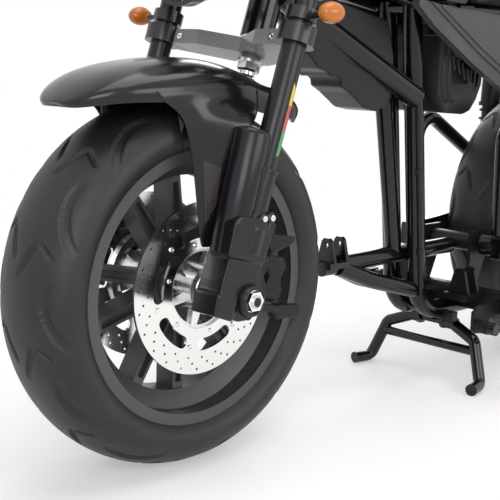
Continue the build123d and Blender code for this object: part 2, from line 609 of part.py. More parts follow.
def indicator(root, tip, radius):
    """A bullet-shaped turn signal on a short stalk."""
    stalk = rod(root, tip, 5)
    head = Pos(*tip) * Rot(0, 90, 0) * scale(Sphere(1), (radius, radius, radius * 1.5))
    return stalk + head


def front_indicator():
    ring = STEERING * Pos(-LEG_AHEAD, -FORK_HALF_TRACK, LAMP_AT[2] - 80) * (
        Cylinder(STANCHION_R + 7, 20, align=STANDING)
        - Cylinder(STANCHION_R + SEAT_GAP, 24, align=STANDING))
    root = steering_point(-LEG_AHEAD, -FORK_HALF_TRACK - STANCHION_R - 4, LAMP_AT[2] - 70)
    return ring + indicator((root.X, root.Y, root.Z), (root.X - 8, root.Y - 46, root.Z + 4), 17)


keep("front_indicators", both_sides(front_indicator))

# ---------------------------------------------------------------- frame
RACE_FLANGE = 4.0
HEAD_FOOT = CLAMP_THICK + 4 + RACE_FLANGE + 0.3
HEAD_TOP = CLAMP_SPAN - RACE_FLANGE - 0.3
HEAD_R = 29.0
HEAD_BORE_R = 21.0
SPAR_AT_HEAD = (222.0, 20.0, 800.0)
SPAR_AT_DOWN = (598.0, 44.0, 622.0)
CROSS_X, CROSS_Z = 812.0, RAIL_HEIGHT + 8


def frame_half(extra=0.0):
    """Spar, down tube with its bend into the lower rail, and upper rail of the left side."""
    y = -DOWN_TUBE_SIDE
    spar = rod((SPAR_AT_HEAD[0], -SPAR_AT_HEAD[1], SPAR_AT_HEAD[2]),
               (SPAR_AT_DOWN[0], -SPAR_AT_DOWN[1], SPAR_AT_DOWN[2]), SPAR_R + extra)
    down = bent_tube([(DOWN_TOP_X, y, DOWN_TOP_Z), (DOWN_FOOT_X, y, RAIL_HEIGHT),
                      (RAIL_END_X, y, RAIL_HEIGHT)], DOWN_TUBE_R + extra, DOWN_BEND)
    top = bent_tube([(238, -18, 838), (330, -62, 846), (588, -62, 806), TOP_TUBE_END],
                    TOP_TUBE_R + extra, 60)
    tie = rod((590, -62, 806), (590, -22, 806), TOP_TUBE_R + extra)
    return fuse(spar, down, top, tie)


DOWN_TOP_X, DOWN_TOP_Z = 588.0, 812.0
DOWN_FOOT_X, DOWN_BEND = 664.0, 74.0
RAIL_END_X = 860.0
TOP_TUBE_R = 16.0
TOP_TUBE_END = (700.0, -72.0, 800.0)
NOSE_X = 424.0
NOSE_EYE_Z = LEVEL_TUBE_Z + 42
NOSE_EYE_R = 5.2
MID_TOP, MID_FOOT, MID_R = (545.0, 0.0, 648.0), (612.0, 0.0, 296.0), 17.0
BELLY_TIE = ((545, -52, 650), (545, 52, 650))
STAND_HINGE_Z = 126.0
STAND_PIN_R = 8.0
LUG_HALF = 5.0


def cradle_arm(extra=0.0):
    """One diverging arm from the nose down to the bend of the down tube."""
    return bent_tube([(NOSE_X + 6, -4, 285), (520, -17, 249), (652, -33, 214)], 17 + extra, 300)


def stand_lug():
    """A plate under the lower rail, bored for the centre stand's pin."""
    outline = [(STAND_X - 24, RAIL_HEIGHT), (STAND_X + 24, RAIL_HEIGHT),
               (STAND_X + 13, STAND_HINGE_Z - 8), (STAND_X + 7, STAND_HINGE_Z - 14),
               (STAND_X - 7, STAND_HINGE_Z - 14), (STAND_X - 13, STAND_HINGE_Z - 8)]
    return side_plate(outline, -DOWN_TUBE_SIDE, 2 * LUG_HALF)


def weldment(extra=0.0):
    """Every tube of the welded frame; the extra radius makes the room other pieces keep."""
    head = STEERING * Pos(0, 0, HEAD_FOOT) * Cylinder(HEAD_R + extra, HEAD_TOP - HEAD_FOOT,
                                                      align=STANDING)
    left = fuse(frame_half(extra), cradle_arm(extra), stand_lug())
    return fuse(head, left, mirror(left, about=Plane.XZ),
                rod(*BELLY_TIE, 14 + extra),
                rod((588, -30, 800), (588, 30, 800), 14 + extra),
                rod((RAIL_END_X - 8, -34, RAIL_HEIGHT), (RAIL_END_X - 8, 34, RAIL_HEIGHT),
                    TOP_TUBE_R + extra),
                rod((NOSE_X - 2, 0, LEVEL_TUBE_Z), (SWING_X - 24, 0, LEVEL_TUBE_Z), 18 + extra),
                rod(MID_TOP, MID_FOOT, MID_R + extra))


def clevis_ear(x, y, foot_z, reach, half_foot):
    """One upright ear with a rounded-off top, standing across the bike."""
    outline = Polyline((-half_foot, 0), (-half_foot / 2, reach - 6), (-6, reach), (6, reach),
                       (half_foot / 2, reach - 6), (half_foot, 0), close=True)
    return Pos(x, y, foot_z) * Rot(0, 0, 90) * Rot(90, 0, 0) * extrude(make_face(outline), 8)


main_frame = weldment()
frame_room = weldment(SEAT_GAP)
for ear_x in (NOSE_X - 30, NOSE_X + 8):
    main_frame += clevis_ear(ear_x, 0, LEVEL_TUBE_Z + 4, 52, 24)
main_frame += Pos(NOSE_X - 12, 0, LEVEL_TUBE_Z + 2) * Box(60, 48, 12)
main_frame += rod((NOSE_X - 42, 0, LEVEL_TUBE_Z - 6), (NOSE_X + 10, 0, LEVEL_TUBE_Z - 6), 14)
main_frame -= rod((NOSE_X - 60, 0, NOSE_EYE_Z), (NOSE_X + 30, 0, NOSE_EYE_Z), NOSE_EYE_R)
main_frame -= STEERING * Pos(0, 0, -20) * Cylinder(HEAD_BORE_R, CLAMP_SPAN + 60, align=STANDING)
main_frame -= rod((STAND_X, -60, STAND_HINGE_Z), (STAND_X, 60, STAND_HINGE_Z),
                  STAND_PIN_R + RUN_GAP)
keep("main_frame", main_frame)

bearing = Cylinder(HEAD_BORE_R, 14, align=STANDING) + Pos(0, 0, -RACE_FLANGE) * Cylinder(
    HEAD_R - 2, RACE_FLANGE, align=STANDING)
bearing -= Pos(0, 0, -6) * Cylinder(15 + RUN_GAP, 30, align=STANDING)
low_race = STEERING * Pos(0, 0, HEAD_FOOT) * bearing
high_race = STEERING * Pos(0, 0, HEAD_TOP) * mirror(bearing, about=Plane.XY)
keep("head_bearings", low_race, high_race)

# ---------------------------------------------------------------- footrest carrier and pegs
PEG_BEAM_OUT = 176.0
PIVOT_R = 9.0
SIDE_STAND_X, SIDE_STAND_Z = 712.0, 150.0

beam = Pos(CROSS_X, 0, CROSS_Z + 12) * Box(30, 2 * PEG_BEAM_OUT, 50)
beam = fillet(beam.edges().filter_by(Axis.Y), 6)
for side in (-1, 1):
    for ear_x in (CROSS_X - 66, CROSS_X - 30):
        beam += clevis_ear(ear_x, side * 78, CROSS_Z + 30, 55, 26)
    beam += Pos(CROSS_X - 34, side * 78, CROSS_Z + 24) * Box(92, 60, 14)
    beam += side_plate([(CROSS_X - 14, CROSS_Z + 20), (SWING_X - 34, SWING_Z - 26),
                        (SWING_X - 34, SWING_Z + 30), (SWING_X + 26, SWING_Z + 30),
                        (SWING_X + 26, SWING_Z - 26), (CROSS_X + 14, CROSS_Z + 20)],
                       side * 62, 8)
beam += side_plate([(698, 142), (698, 180), (722, 192), (CROSS_X - 10, 192), (CROSS_X - 10, 164),
                    (760, 160), (740, 140), (720, 132), (706, 134)], -150, 8)
beam += rod((SIDE_STAND_X, -151, SIDE_STAND_Z), (SIDE_STAND_X, -182, SIDE_STAND_Z), 14)
beam -= rod((SIDE_STAND_X, -186, SIDE_STAND_Z), (SIDE_STAND_X, -160, SIDE_STAND_Z),
            6 + RUN_GAP)
beam += rod((SWING_X, -66, SWING_Z), (SWING_X, 66, SWING_Z), 20)
beam -= rod((SWING_X, -140, SWING_Z), (SWING_X, 140, SWING_Z), PIVOT_R + SEAT_GAP)
beam -= frame_room
beam = max(beam.solids(), key=lambda solid: solid.volume)
keep("footrest_carrier", beam)


def footpeg():
    hinge = Pos(CROSS_X, -PEG_BEAM_OUT - SEAT_GAP - 6, CROSS_Z + 16) * Box(34, 12, 36)
    peg = rod((CROSS_X, -PEG_BEAM_OUT - 8, CROSS_Z + 18), (CROSS_X, -PEG_BEAM_OUT - 102, CROSS_Z + 18), 13)
    pad = Pos(CROSS_X, -PEG_BEAM_OUT - 64, CROSS_Z + 27) * Box(36, 76, 12)
    return fuse(hinge, peg, fillet(pad.edges().filter_by(Axis.Z), 8))


keep("footpegs", both_sides(footpeg))

# ---------------------------------------------------------------- swingarm and rear suspension
ARM_IN, ARM_OUT = TYRE_HALF_WIDTH + 17, TYRE_HALF_WIDTH + 43
STAY_R = 16.0
STAY_Y = TYRE_HALF_WIDTH + 6 + STAY_R       # the upper stays run just outside the tyre
STAY_PEAK = (824.0, 600.0)                  # x and z where the upright turns into the stay
LUG_X, LUG_Z = WHEELBASE - 20, REAR_AXLE_Z + 52
SHOCK_Y = ARM_OUT + 28


def swing_leg():
    """One side of the swingarm: a tapering box leg, and an upright and a stay of round tube."""
    outline = [(SWING_X - 24, SWING_Z - 26), (SWING_X - 24, SWING_Z + 26), (SWING_X + 90, SWING_Z + 34),
               (WHEELBASE - 60, REAR_AXLE_Z + 26), (WHEELBASE + 30, REAR_AXLE_Z + 26),
               (WHEELBASE + 38, REAR_AXLE_Z), (WHEELBASE + 30, REAR_AXLE_Z - 26),
               (WHEELBASE - 60, REAR_AXLE_Z - 22), (SWING_X + 90, SWING_Z - 24)]
    leg = side_plate(outline, -(ARM_IN + ARM_OUT) / 2, ARM_OUT - ARM_IN)
    leg = fillet(leg.edges().filter_by(Axis.Y), 8)
    stay = bent_tube([(SWING_X, -STAY_Y, SWING_Z + 10), (STAY_PEAK[0], -STAY_Y, STAY_PEAK[1]),
                      (WHEELBASE - 14, -STAY_Y, REAR_AXLE_Z + 71),
                      (WHEELBASE - 9, -STAY_Y, REAR_AXLE_Z + 36)], STAY_R, [46, 26])
    lug = rod((LUG_X, -ARM_IN - 4, LUG_Z), (LUG_X, -SHOCK_Y - 11, LUG_Z), PIVOT_R)
    lug_foot = Pos(LUG_X, -ARM_OUT + 9, LUG_Z - 10) * Box(34, 18, 40)
    bore = rod((WHEELBASE, -ARM_IN + 20, REAR_AXLE_Z), (WHEELBASE, -ARM_OUT - 20, REAR_AXLE_Z),
               AXLE_R + SEAT_GAP)
    return fuse(leg, stay, lug, lug_foot) - bore


swing_left = swing_leg()
cross = rod((SWING_X, -ARM_IN - 4, SWING_Z), (SWING_X, -76, SWING_Z), 24)
swingarm = fuse(swing_left, mirror(swing_left, about=Plane.XZ), cross, mirror(cross, about=Plane.XZ),
                rod((SWING_X, -110, SWING_Z), (SWING_X, 110, SWING_Z), PIVOT_R))
keep("swingarm", swingarm)

rear_nut = ARM_OUT + SEAT_GAP
REAR_SPACER_R = AXLE_R + 6
rear_axle = rod((WHEELBASE, -rear_nut - 16, REAR_AXLE_Z), (WHEELBASE, rear_nut + 16, REAR_AXLE_Z), AXLE_R)
for side in (-1, 1):
    rear_axle += Pos(WHEELBASE, side * rear_nut, REAR_AXLE_Z) * Rot(-90 * side, 0, 0) * (
        Cylinder(WASHER_R, 2.5, align=STANDING) + Pos(0, 0, 2.5) * extrude(RegularPolygon(NUT_R, 6), 9))
    rear_axle += rod((WHEELBASE, side * (REAR_HUB_HALF + 1), REAR_AXLE_Z),
                     (WHEELBASE, side * (ARM_IN - SEAT_GAP), REAR_AXLE_Z), REAR_SPACER_R)
keep("rear_axle", rear_axle)

SHOCK_LOW = (LUG_X, -SHOCK_Y, LUG_Z)
SHOCK_TOP = (WHEELBASE - 5, -SHOCK_Y, 694.0)
SPRING_R = 22.0
SPRING_WIRE_R = 4.0
SPRING_TURNS = 8


def shock():
    """A damper between two eyes: rod, body, two spring seats and the coil's stacked turns."""
    low, top = Vector(*SHOCK_LOW), Vector(*SHOCK_TOP)
    along = (top - low).normalized()
    length = (top - low).length
    plane = Plane(origin=low, z_dir=along)
    eyes = [rod((p.X, p.Y - 9, p.Z), (p.X, p.Y + 9, p.Z), 15) for p in (low, top)]
    bores = [rod((p.X, p.Y - 20, p.Z), (p.X, p.Y + 20, p.Z), PIVOT_R + SEAT_GAP)
             for p in (low, top)]
    coil_foot, coil_head = 34, length - 104
    body = (Pos(0, 0, 12) * Cylinder(9, length - 24, align=STANDING)
            + Pos(0, 0, 26) * Cylinder(29, 8, align=STANDING)
            + Pos(0, 0, coil_foot) * Cylinder(SPRING_R - 2, coil_head - coil_foot, align=STANDING)
            + Pos(0, 0, coil_head) * Cylinder(29, 10, align=STANDING)
            + Pos(0, 0, coil_head + 10) * Cylinder(25, 78, align=STANDING))
    pitch = (coil_head - coil_foot) / SPRING_TURNS
    for turn in range(SPRING_TURNS):
        body += Pos(0, 0, coil_foot + (turn + 0.5) * pitch) * Torus(SPRING_R, SPRING_WIRE_R)
    return fuse(plane * body, *eyes) - bores[0] - bores[1]


keep("rear_shocks", both_sides(shock))

REAR_CALIPER_TURN = 25.0    # below straight behind the axle


def rear_caliper():
    """The caliper behind the axle, on a plate held by the axle's spacer."""
    plate = side_plate([(-24, 20), (26, 26), (104, 40), (104, -40), (26, -32), (-28, -24)], -103, 9)
    plate = fillet(plate.edges().filter_by(Axis.Y), 8)
    plate -= rod((0, -120, 0), (0, -80, 0), REAR_SPACER_R + SEAT_GAP)
    return Pos(WHEELBASE, 0, REAR_AXLE_Z) * Rot(0, REAR_CALIPER_TURN, 0) * (caliper(-99, -62) + plate)


rear_cal = rear_caliper()
keep("rear_caliper", rear_cal)

# ---------------------------------------------------------------- seat frame
SEAT_RAIL_Z = 800.0


RAIL_TUBE_R = 14.0
RAIL_BEND_X = WHEELBASE - 200.0


def seat_rail(extra=0.0):
    return bent_tube([(682, -72, SEAT_RAIL_Z), (RAIL_BEND_X, -78, SEAT_RAIL_Z),
                      (WHEELBASE - 40, -70, 862), (WHEELBASE + 42, -70, 890)],
                     RAIL_TUBE_R + extra, [200, 120])


def shock_tower():
    """The tube from the rail down to the shock's upper pin, with a gusset ahead of it."""
    x, top_z = SHOCK_TOP[0], SHOCK_TOP[2]
    lug = rod((x, -76, 868), (x, -98, top_z), 11)
    pin = rod((x, -92, top_z), (x, -SHOCK_Y - 13, top_z), PIVOT_R)
    brace = rod((x - 3, -92, top_z + 16), (RAIL_BEND_X + 60, -79, SEAT_RAIL_Z + 12), 9)
    return fuse(lug, pin, brace)


SLEEVE_ENDS = (672, -70, 801), (716, -73, SEAT_RAIL_Z)
SLEEVE_R = TOP_TUBE_R + 5
PAD_GAP = 0.4               # clearance of the soft seat
sleeve = rod(*SLEEVE_ENDS, SLEEVE_R)
sleeve_room = rod(*SLEEVE_ENDS, SLEEVE_R + PAD_GAP)
rail_left = fuse(seat_rail(), sleeve, shock_tower())
seat_frame = fuse(rail_left, mirror(rail_left, about=Plane.XZ),
                  rod((RAIL_BEND_X, -78, SEAT_RAIL_Z), (RAIL_BEND_X, 78, SEAT_RAIL_Z), 12),
                  rod((WHEELBASE - 50, -70, 858), (WHEELBASE - 50, 70, 858), 12))
seat_frame -= frame_room
keep("seat_frame", seat_frame)
rail_room = seat_rail(SEAT_GAP)
rail_room = fuse(rail_room, mirror(rail_room, about=Plane.XZ))


# ---------------------------------------------------------------- battery, controller and covers
BATTERY_HALF = 70.0
CASE_HALF = 70.0
LID_HALF = 92.0
TANK_HALF = 118.0
VENT_COUNT = 5
VENT_WIDTH, VENT_DEPTH = 7.0, 5.0
RIB = 3.0


def battery_box():
    """The battery between the frame tubes: a spine, a wide belly with ribs and a lip below."""
    spine = slab([(300, 730), (302, 694), (332, 674), (362, 664), (400, 654), (430, 620), (478, 600),
                  (510, 597), (566, 600), (556, 690), (540, 790), (330, 822), (296, 800)], 20, 6)
    belly = slab([(352, 694), (388, 658), (424, 628), (462, 602), (490, 592), (514, 594), (540, 612),
                  (556, 640), (548, 656), (380, 722)], BATTERY_HALF, 14)
    lip = slab([(384, 650), (388, 640), (426, 612), (440, 606), (446, 618), (400, 656)],
               BATTERY_HALF - 16, 3)
    box = fuse(spine, belly, lip)
    for step in range(4):
        x, z = 384 + 34 * step, 664 - 18 * step
        rib = side_plate([(x, z + 10), (x + 20, z - 1), (x + 46, z + 26), (x + 26, z + 38)], 0,
                         2 * (BATTERY_HALF + RIB))
        box += rib
    return box


def controller_box():
    """The rear case: a tub with a round lower corner, a flanged front, vents and a wide lid."""
    tub = make_face(FilletPolyline((640, 770), (640, 632), (664, 592), (792, 584), (806, 770),
                                   close=True, radius=12))
    tub = Pos(0, CASE_HALF, 0) * extrude(Plane.XZ * tub, 2 * CASE_HALF)
    box = chamfer(tub.faces().sort_by(Axis.Y)[0].edges(), 3)
    box = chamfer(box.faces().sort_by(Axis.Y)[-1].edges(), 3)
    for x in (648, 668):
        flange = side_plate([(x, 770), (x, 640), (x + 14, 612), (x + 24, 612), (x + 10, 640),
                             (x + 10, 770)], 0, 2 * (CASE_HALF + RIB))
        box += flange
    for index in range(VENT_COUNT):
        x = 716 + index * 15
        for side in (-1, 1):
            vent = Pos(x, side * CASE_HALF, 698 - index * 7) * Box(VENT_WIDTH, 2 * VENT_DEPTH, 46)
            box -= vent
    lid = slab([(634, 744), (842, 744), (842, 770), (634, 770)], LID_HALF, 6)
    return box + lid


battery = battery_box() - frame_room
battery = max(battery.solids(), key=lambda solid: solid.volume)
keep("battery_case", battery)
controller = controller_box()
for side in (-1, 1):
    for saddle_x in (736, 812):
        controller += Pos(saddle_x, side * 74, 780) * Box(26, 18, 26)
keep("controller_case", controller - rail_room)

tank = slab([(334, 900), (344, 852), (588, 810), (650, 808), (660, 840), (640, 884), (560, 944),
             (430, 976), (352, 962)], TANK_HALF, 10)
tank -= Pos(290, -160, 930) * Rot(0, 0, 24) * Box(130, 160, 240)
tank -= Pos(290, 160, 930) * Rot(0, 0, -24) * Box(130, 160, 240)
tank -= frame_room
tank -= Pos(430, 0, 780) * Box(300, 40 + 2 * SEAT_GAP, 88)
keep("tank_cover", tank)

PANEL_IN = LID_HALF + 4.0
PANEL_THICK = 16.0
PANEL_GROOVE = 3.0           # depth of the groove along the lower edge, height of the raised field
PEG_R = 7.0


def side_panel():
    """The long side cover: its lower edge falls to the rear and pegs hold it to the case."""
    outline = [(478, 814), (560, 760), (700, 690), (842, 628), (872, 640), (880, 700), (862, 790),
               (650, 799), (588, 801)]
    panel = side_plate(outline, -PANEL_IN - PANEL_THICK / 2, PANEL_THICK)
    panel = fillet(panel.edges().filter_by(Axis.Y), 8)
    groove = [(520, 810), (712, 708), (868, 640), (868, 646), (716, 714), (532, 812)]
    panel -= side_plate(groove, -PANEL_IN - PANEL_THICK, 2 * PANEL_GROOVE)
    badge = [(560, 806), (724, 722), (866, 660), (872, 700), (856, 782), (652, 792)]
    panel += fillet(side_plate(badge, -PANEL_IN - PANEL_THICK, 2 * PANEL_GROOVE).edges().filter_by(
        Axis.Y), 3)
    for x, z, seat in ((668, 756, LID_HALF), (812, 756, LID_HALF), (760, 690, CASE_HALF)):
        panel += rod((x, -PANEL_IN - 2, z), (x, -seat - SEAT_GAP, z), PEG_R)
    return panel


keep("side_panels", both_sides(side_panel))

seat = slab([(668, 822), (700, 818), (RAIL_BEND_X, 818), (WHEELBASE - 60, 872), (WHEELBASE - 50, 900),
             (WHEELBASE - 110, 912), (WHEELBASE - 230, 866), (800, 852), (690, 872), (666, 858)], 120, 10)
seat -= fuse(sleeve_room, mirror(sleeve_room, about=Plane.XZ))
keep("seat", seat)

TAIL_HALF = 84.0
TAIL_X = WHEELBASE - 44.0
tail = slab([(TAIL_X, 876), (TAIL_X + 134, 908), (TAIL_X + 164, 930), (TAIL_X + 134, 948),
             (TAIL_X + 14, 922), (TAIL_X, 912)], TAIL_HALF, 4)
tail -= rail_room
hanger_root = Pos(TAIL_X + 100, 0, 890) * Box(44, 60, 16)
keep("tail_cowl", tail - Pos(TAIL_X + 100, 0, 890) * Box(44 + 2 * SEAT_GAP, 60 + 2 * SEAT_GAP, 40))

tail_lamp = Pos(TAIL_X + 160, 0, 929) * Box(16, 110, 22)
tail_lamp = fillet(tail_lamp.edges().filter_by(Axis.X), 8) - tail
keep("tail_lamp", max(tail_lamp.solids(), key=lambda solid: solid.volume))


PLATE_AT = (WHEELBASE + 242.0, 0.0, 610.0)
PLATE_TILT = -18.0
PLATE_HOLE_R = 3.3
PLATE_HOLE_PITCH = 150.0


def plate_hanger():
    """A foot in the tail, a bent arm and the board a number plate screws to."""
    arm = bent_tube([(TAIL_X + 102, 0, 896), (TAIL_X + 164, 0, 800), (PLATE_AT[0] - 2, 0, 640)], 9, 60)
    board = Box(5, 190, 130)
    for side in (-1, 1):
        board -= Pos(0, side * PLATE_HOLE_PITCH / 2, 40) * Rot(0, 90, 0) * Cylinder(
            PLATE_HOLE_R, 20)
    return hanger_root + arm + Pos(*PLATE_AT) * Rot(0, PLATE_TILT, 0) * board


keep("plate_hanger", plate_hanger())


def rear_indicator():
    return indicator((TAIL_X + 84, -TAIL_HALF - 1.4, 912), (TAIL_X + 96, -TAIL_HALF - 50, 912), 17)


keep("rear_indicators", both_sides(rear_indicator))

# ---------------------------------------------------------------- stands
STAND_TUBE_R = 13.0
STAND_SPREAD = 118.0
HINGE_IN = DOWN_TUBE_SIDE + LUG_HALF + 0.5


STAND_HEEL, STAND_TOE = 26.0, 74.0          # feet ahead of the hinge: the load keeps it open


def stand_leg():
    hinge = rod((STAND_X, -HINGE_IN - 26, STAND_HINGE_Z), (STAND_X, -HINGE_IN, STAND_HINGE_Z), 14)
    foot_z = FLOOR_Z + STAND_TUBE_R
    leg = bent_tube([(STAND_X, -HINGE_IN - 16, STAND_HINGE_Z), (STAND_X - 8, -STAND_SPREAD, 100),
                     (STAND_X - STAND_HEEL, -HALF_STANCE, foot_z),
                     (STAND_X - STAND_TOE, -HALF_STANCE - 10, foot_z)], STAND_TUBE_R, 18)
    return fuse(hinge, leg)


stand_left = stand_leg()
centre_stand = fuse(stand_left, mirror(stand_left, about=Plane.XZ),
                    rod((STAND_X, -50, STAND_HINGE_Z), (STAND_X, 50, STAND_HINGE_Z), STAND_PIN_R),
                    rod((STAND_X - 13, -130, 78), (STAND_X - 13, 130, 78), 10))
keep("centre_stand", centre_stand)

SIDE_LEG_LENGTH = 136.0
side_hub = rod((SIDE_STAND_X, -183, SIDE_STAND_Z), (SIDE_STAND_X, -201, SIDE_STAND_Z), 13)
side_pin = rod((SIDE_STAND_X, -162, SIDE_STAND_Z), (SIDE_STAND_X, -190, SIDE_STAND_Z), 6)
side_leg = rod((SIDE_STAND_X + 4, -192, SIDE_STAND_Z - 1),
               (SIDE_STAND_X + SIDE_LEG_LENGTH - 4, -206, SIDE_STAND_Z - 8), 9)
side_foot = Pos(SIDE_STAND_X + SIDE_LEG_LENGTH - 12, -206, SIDE_STAND_Z - 8) * Rot(0, 8, 6) * Box(
    16, 34, 30)
side_foot = fillet(side_foot.edges(), 3)
keep("side_stand", fuse(side_hub, side_pin, side_leg, side_foot))

# ---------------------------------------------------------------- stand switch and its cable
CABLE_R = 4.0
CABLE_OUT, CABLE_AHEAD = 20.2, 14.0         # cable centre from the down tube's centre


def cable_line():
    """Down the outer front of the left down tube and under its bend to the stand switch."""
    lean = (DOWN_FOOT_X - DOWN_TOP_X) / (DOWN_TOP_Z - RAIL_HEIGHT)
    y = -DOWN_TUBE_SIDE - CABLE_OUT
    top_z, low_z = 752.0, RAIL_HEIGHT - CABLE_AHEAD
    return [(DOWN_TOP_X + (DOWN_TOP_Z - z) * lean - CABLE_AHEAD, y, z) for z in (top_z, low_z)] + [
        (736, y, low_z)]


cable_points = cable_line()
cable = bent_tube(cable_points, CABLE_R, DOWN_BEND + CABLE_AHEAD)
switch = Pos(743, -64, RAIL_HEIGHT - CABLE_AHEAD) * Box(18, 26, 20)
plug = rod(cable_points[0], (cable_points[0][0] - 2, cable_points[0][1], cable_points[0][2] + 18), 7)
for height in (640, 470, 300):
    share = (cable_points[0][2] - height) / (cable_points[0][2] - cable_points[1][2])
    x = cable_points[0][0] + share * (cable_points[1][0] - cable_points[0][0])
    cable += rod((x - 1, cable_points[0][1], height + 7), (x + 1, cable_points[0][1], height - 7), 7)
cable = (fuse(cable, switch, plug) - frame_room).solids()
keep("stand_switch_cable", max(cable, key=lambda solid: solid.volume))

# ---------------------------------------------------------------- write the files
for node, solid in pieces.items():
    export_step(solid, f"parts/{node}.step")
print(len(pieces), "nodes")
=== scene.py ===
# %% [markdown]
# # An electric motorcycle with fat wheels, parked on its centre stand
# The welded frame, the wheels, the fork and every other rigid piece come from a measured model.
# This file gives them their finish and adds what a measured model leaves out: the tread of the
# tyres, the perforated discs, the screws, the stitched seat and the coloured fork stripes.
# Everything is in metres. X runs to the rear, Y to the rider's right and Z up; the origin lies
# on the floor, midway between the axles.

# %% Load the measured model
import json
import math

import bmesh
import bpy
from mathutils import Matrix, Vector
from mathutils.bvhtree import BVHTree


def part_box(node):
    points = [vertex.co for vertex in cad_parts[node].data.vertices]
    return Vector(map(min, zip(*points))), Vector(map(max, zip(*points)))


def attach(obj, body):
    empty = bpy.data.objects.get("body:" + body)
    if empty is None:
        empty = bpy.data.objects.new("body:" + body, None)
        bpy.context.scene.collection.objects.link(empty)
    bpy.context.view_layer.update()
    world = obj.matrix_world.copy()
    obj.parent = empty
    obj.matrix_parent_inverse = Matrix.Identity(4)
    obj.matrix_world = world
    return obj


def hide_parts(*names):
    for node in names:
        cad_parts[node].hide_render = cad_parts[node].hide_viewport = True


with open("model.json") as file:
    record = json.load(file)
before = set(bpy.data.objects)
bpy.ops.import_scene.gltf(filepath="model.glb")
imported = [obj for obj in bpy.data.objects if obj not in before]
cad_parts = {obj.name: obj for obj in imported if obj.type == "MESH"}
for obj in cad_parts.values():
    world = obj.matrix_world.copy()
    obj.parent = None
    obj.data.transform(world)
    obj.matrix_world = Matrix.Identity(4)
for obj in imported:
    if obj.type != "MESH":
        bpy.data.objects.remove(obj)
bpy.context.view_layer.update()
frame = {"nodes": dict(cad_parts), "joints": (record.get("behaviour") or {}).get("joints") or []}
nodes = frame["nodes"]
SIDES = (-1, 1)             # the rider's left, then the rider's right

# %% [markdown]
# ## Where the eye is
# A motorcycle reads best from ahead of its front wheel and a little above the axle, with the
# fork large and the rest running away behind it. The camera is placed by its position and by
# the three angles of its aim, and a long lens keeps the wheel from bulging.

# %% Camera
EYE = Vector((-1.72945, -1.31397, 0.68115))
EYE_YAW = 0.78300714        # from straight across the bike towards its tail
EYE_PITCH = 0.17896707      # downwards
EYE_ROLL = 0.02886509
LENS_MM = 74.412
SENSOR_MM = 36.0


def aim_matrix(yaw, pitch, roll):
    """The camera's axes: X right, Y up and -Z along the line of sight."""
    ahead = Vector((math.sin(yaw) * math.cos(pitch), math.cos(yaw) * math.cos(pitch),
                    -math.sin(pitch)))
    level = Vector((math.cos(yaw), -math.sin(yaw), 0))
    upright = level.cross(ahead)
    right = math.cos(roll) * level + math.sin(roll) * upright
    up = math.cos(roll) * upright - math.sin(roll) * level
    return Matrix((right, up, -ahead)).transposed().to_4x4()


camera_data = bpy.data.cameras.new("eye")
camera_data.lens = LENS_MM
camera_data.sensor_width = SENSOR_MM
camera = bpy.data.objects.new("eye", camera_data)
camera.matrix_world = Matrix.Translation(EYE) @ aim_matrix(EYE_YAW, EYE_PITCH, EYE_ROLL)
bpy.context.scene.collection.objects.link(camera)
bpy.context.scene.camera = camera
bpy.context.scene.view_settings.view_transform = "Standard"
print("camera", [round(v, 3) for v in EYE], "lens", LENS_MM)

# %% [markdown]
# ## A white studio
# Black paint shows only what it reflects, so the lamps are large soft boxes: one overhead for
# the long highlights on tubes and fender, one beside the camera for the wheel, and one behind
# for the edges. The world is white to the eye and to polished metal, but lights the object
# gently. The floor keeps the soft shadow under the tyres.

# %% Helpers that link nodes
def add(tree, kind, **settings):
    """Adds one node and sets its properties; inputs are given by name with set_inputs."""
    node = tree.nodes.new(kind)
    for key, value in settings.items():
        setattr(node, key, value)
    return node


def set_inputs(node, **values):
    """Sets sockets by name, with underscores for spaces."""
    for key, value in values.items():
        node.inputs[key.replace("_", " ")].default_value = value
    return node


# %% World, lamps and floor
WORLD_LIGHT = 0.36
LAMPS = {
    # name: (place, aim, size x, size y, watts)
    "overhead": ((0.1, -0.2, 3.2), (0.0, 0.0, 0.4), 3.6, 2.2, 56.0),
    "beside_eye": ((-3.0, -2.4, 1.7), (-0.4, 0.0, 0.4), 1.8, 1.6, 40.0),
    "left_side": ((0.4, -3.4, 1.4), (0.1, 0.0, 0.4), 2.4, 1.2, 30.0),
    "behind": ((2.8, 2.2, 1.8), (0.0, 0.0, 0.5), 1.8, 1.8, 40.0),
}


def white_world(strength):
    """White where it is seen or mirrored, softer where it lights."""
    world = bpy.data.worlds.new("studio")
    world.use_nodes = True
    tree = world.node_tree
    tree.nodes.clear()
    path = add(tree, "ShaderNodeLightPath")
    seen = add(tree, "ShaderNodeMath", operation="MAXIMUM")
    mirrored = add(tree, "ShaderNodeMath", operation="MAXIMUM")
    tree.links.new(path.outputs["Is Glossy Ray"], mirrored.inputs[0])
    tree.links.new(path.outputs["Is Transmission Ray"], mirrored.inputs[1])
    tree.links.new(path.outputs["Is Camera Ray"], seen.inputs[0])
    tree.links.new(mirrored.outputs[0], seen.inputs[1])
    level = add(tree, "ShaderNodeMapRange")
    set_inputs(level, To_Min=strength, To_Max=1.0)
    tree.links.new(seen.outputs[0], level.inputs["Value"])
    sky = set_inputs(add(tree, "ShaderNodeBackground"), Color=(1, 1, 1, 1))
    tree.links.new(level.outputs["Result"], sky.inputs["Strength"])
    output = add(tree, "ShaderNodeOutputWorld")
    tree.links.new(sky.outputs["Background"], output.inputs["Surface"])
    return world


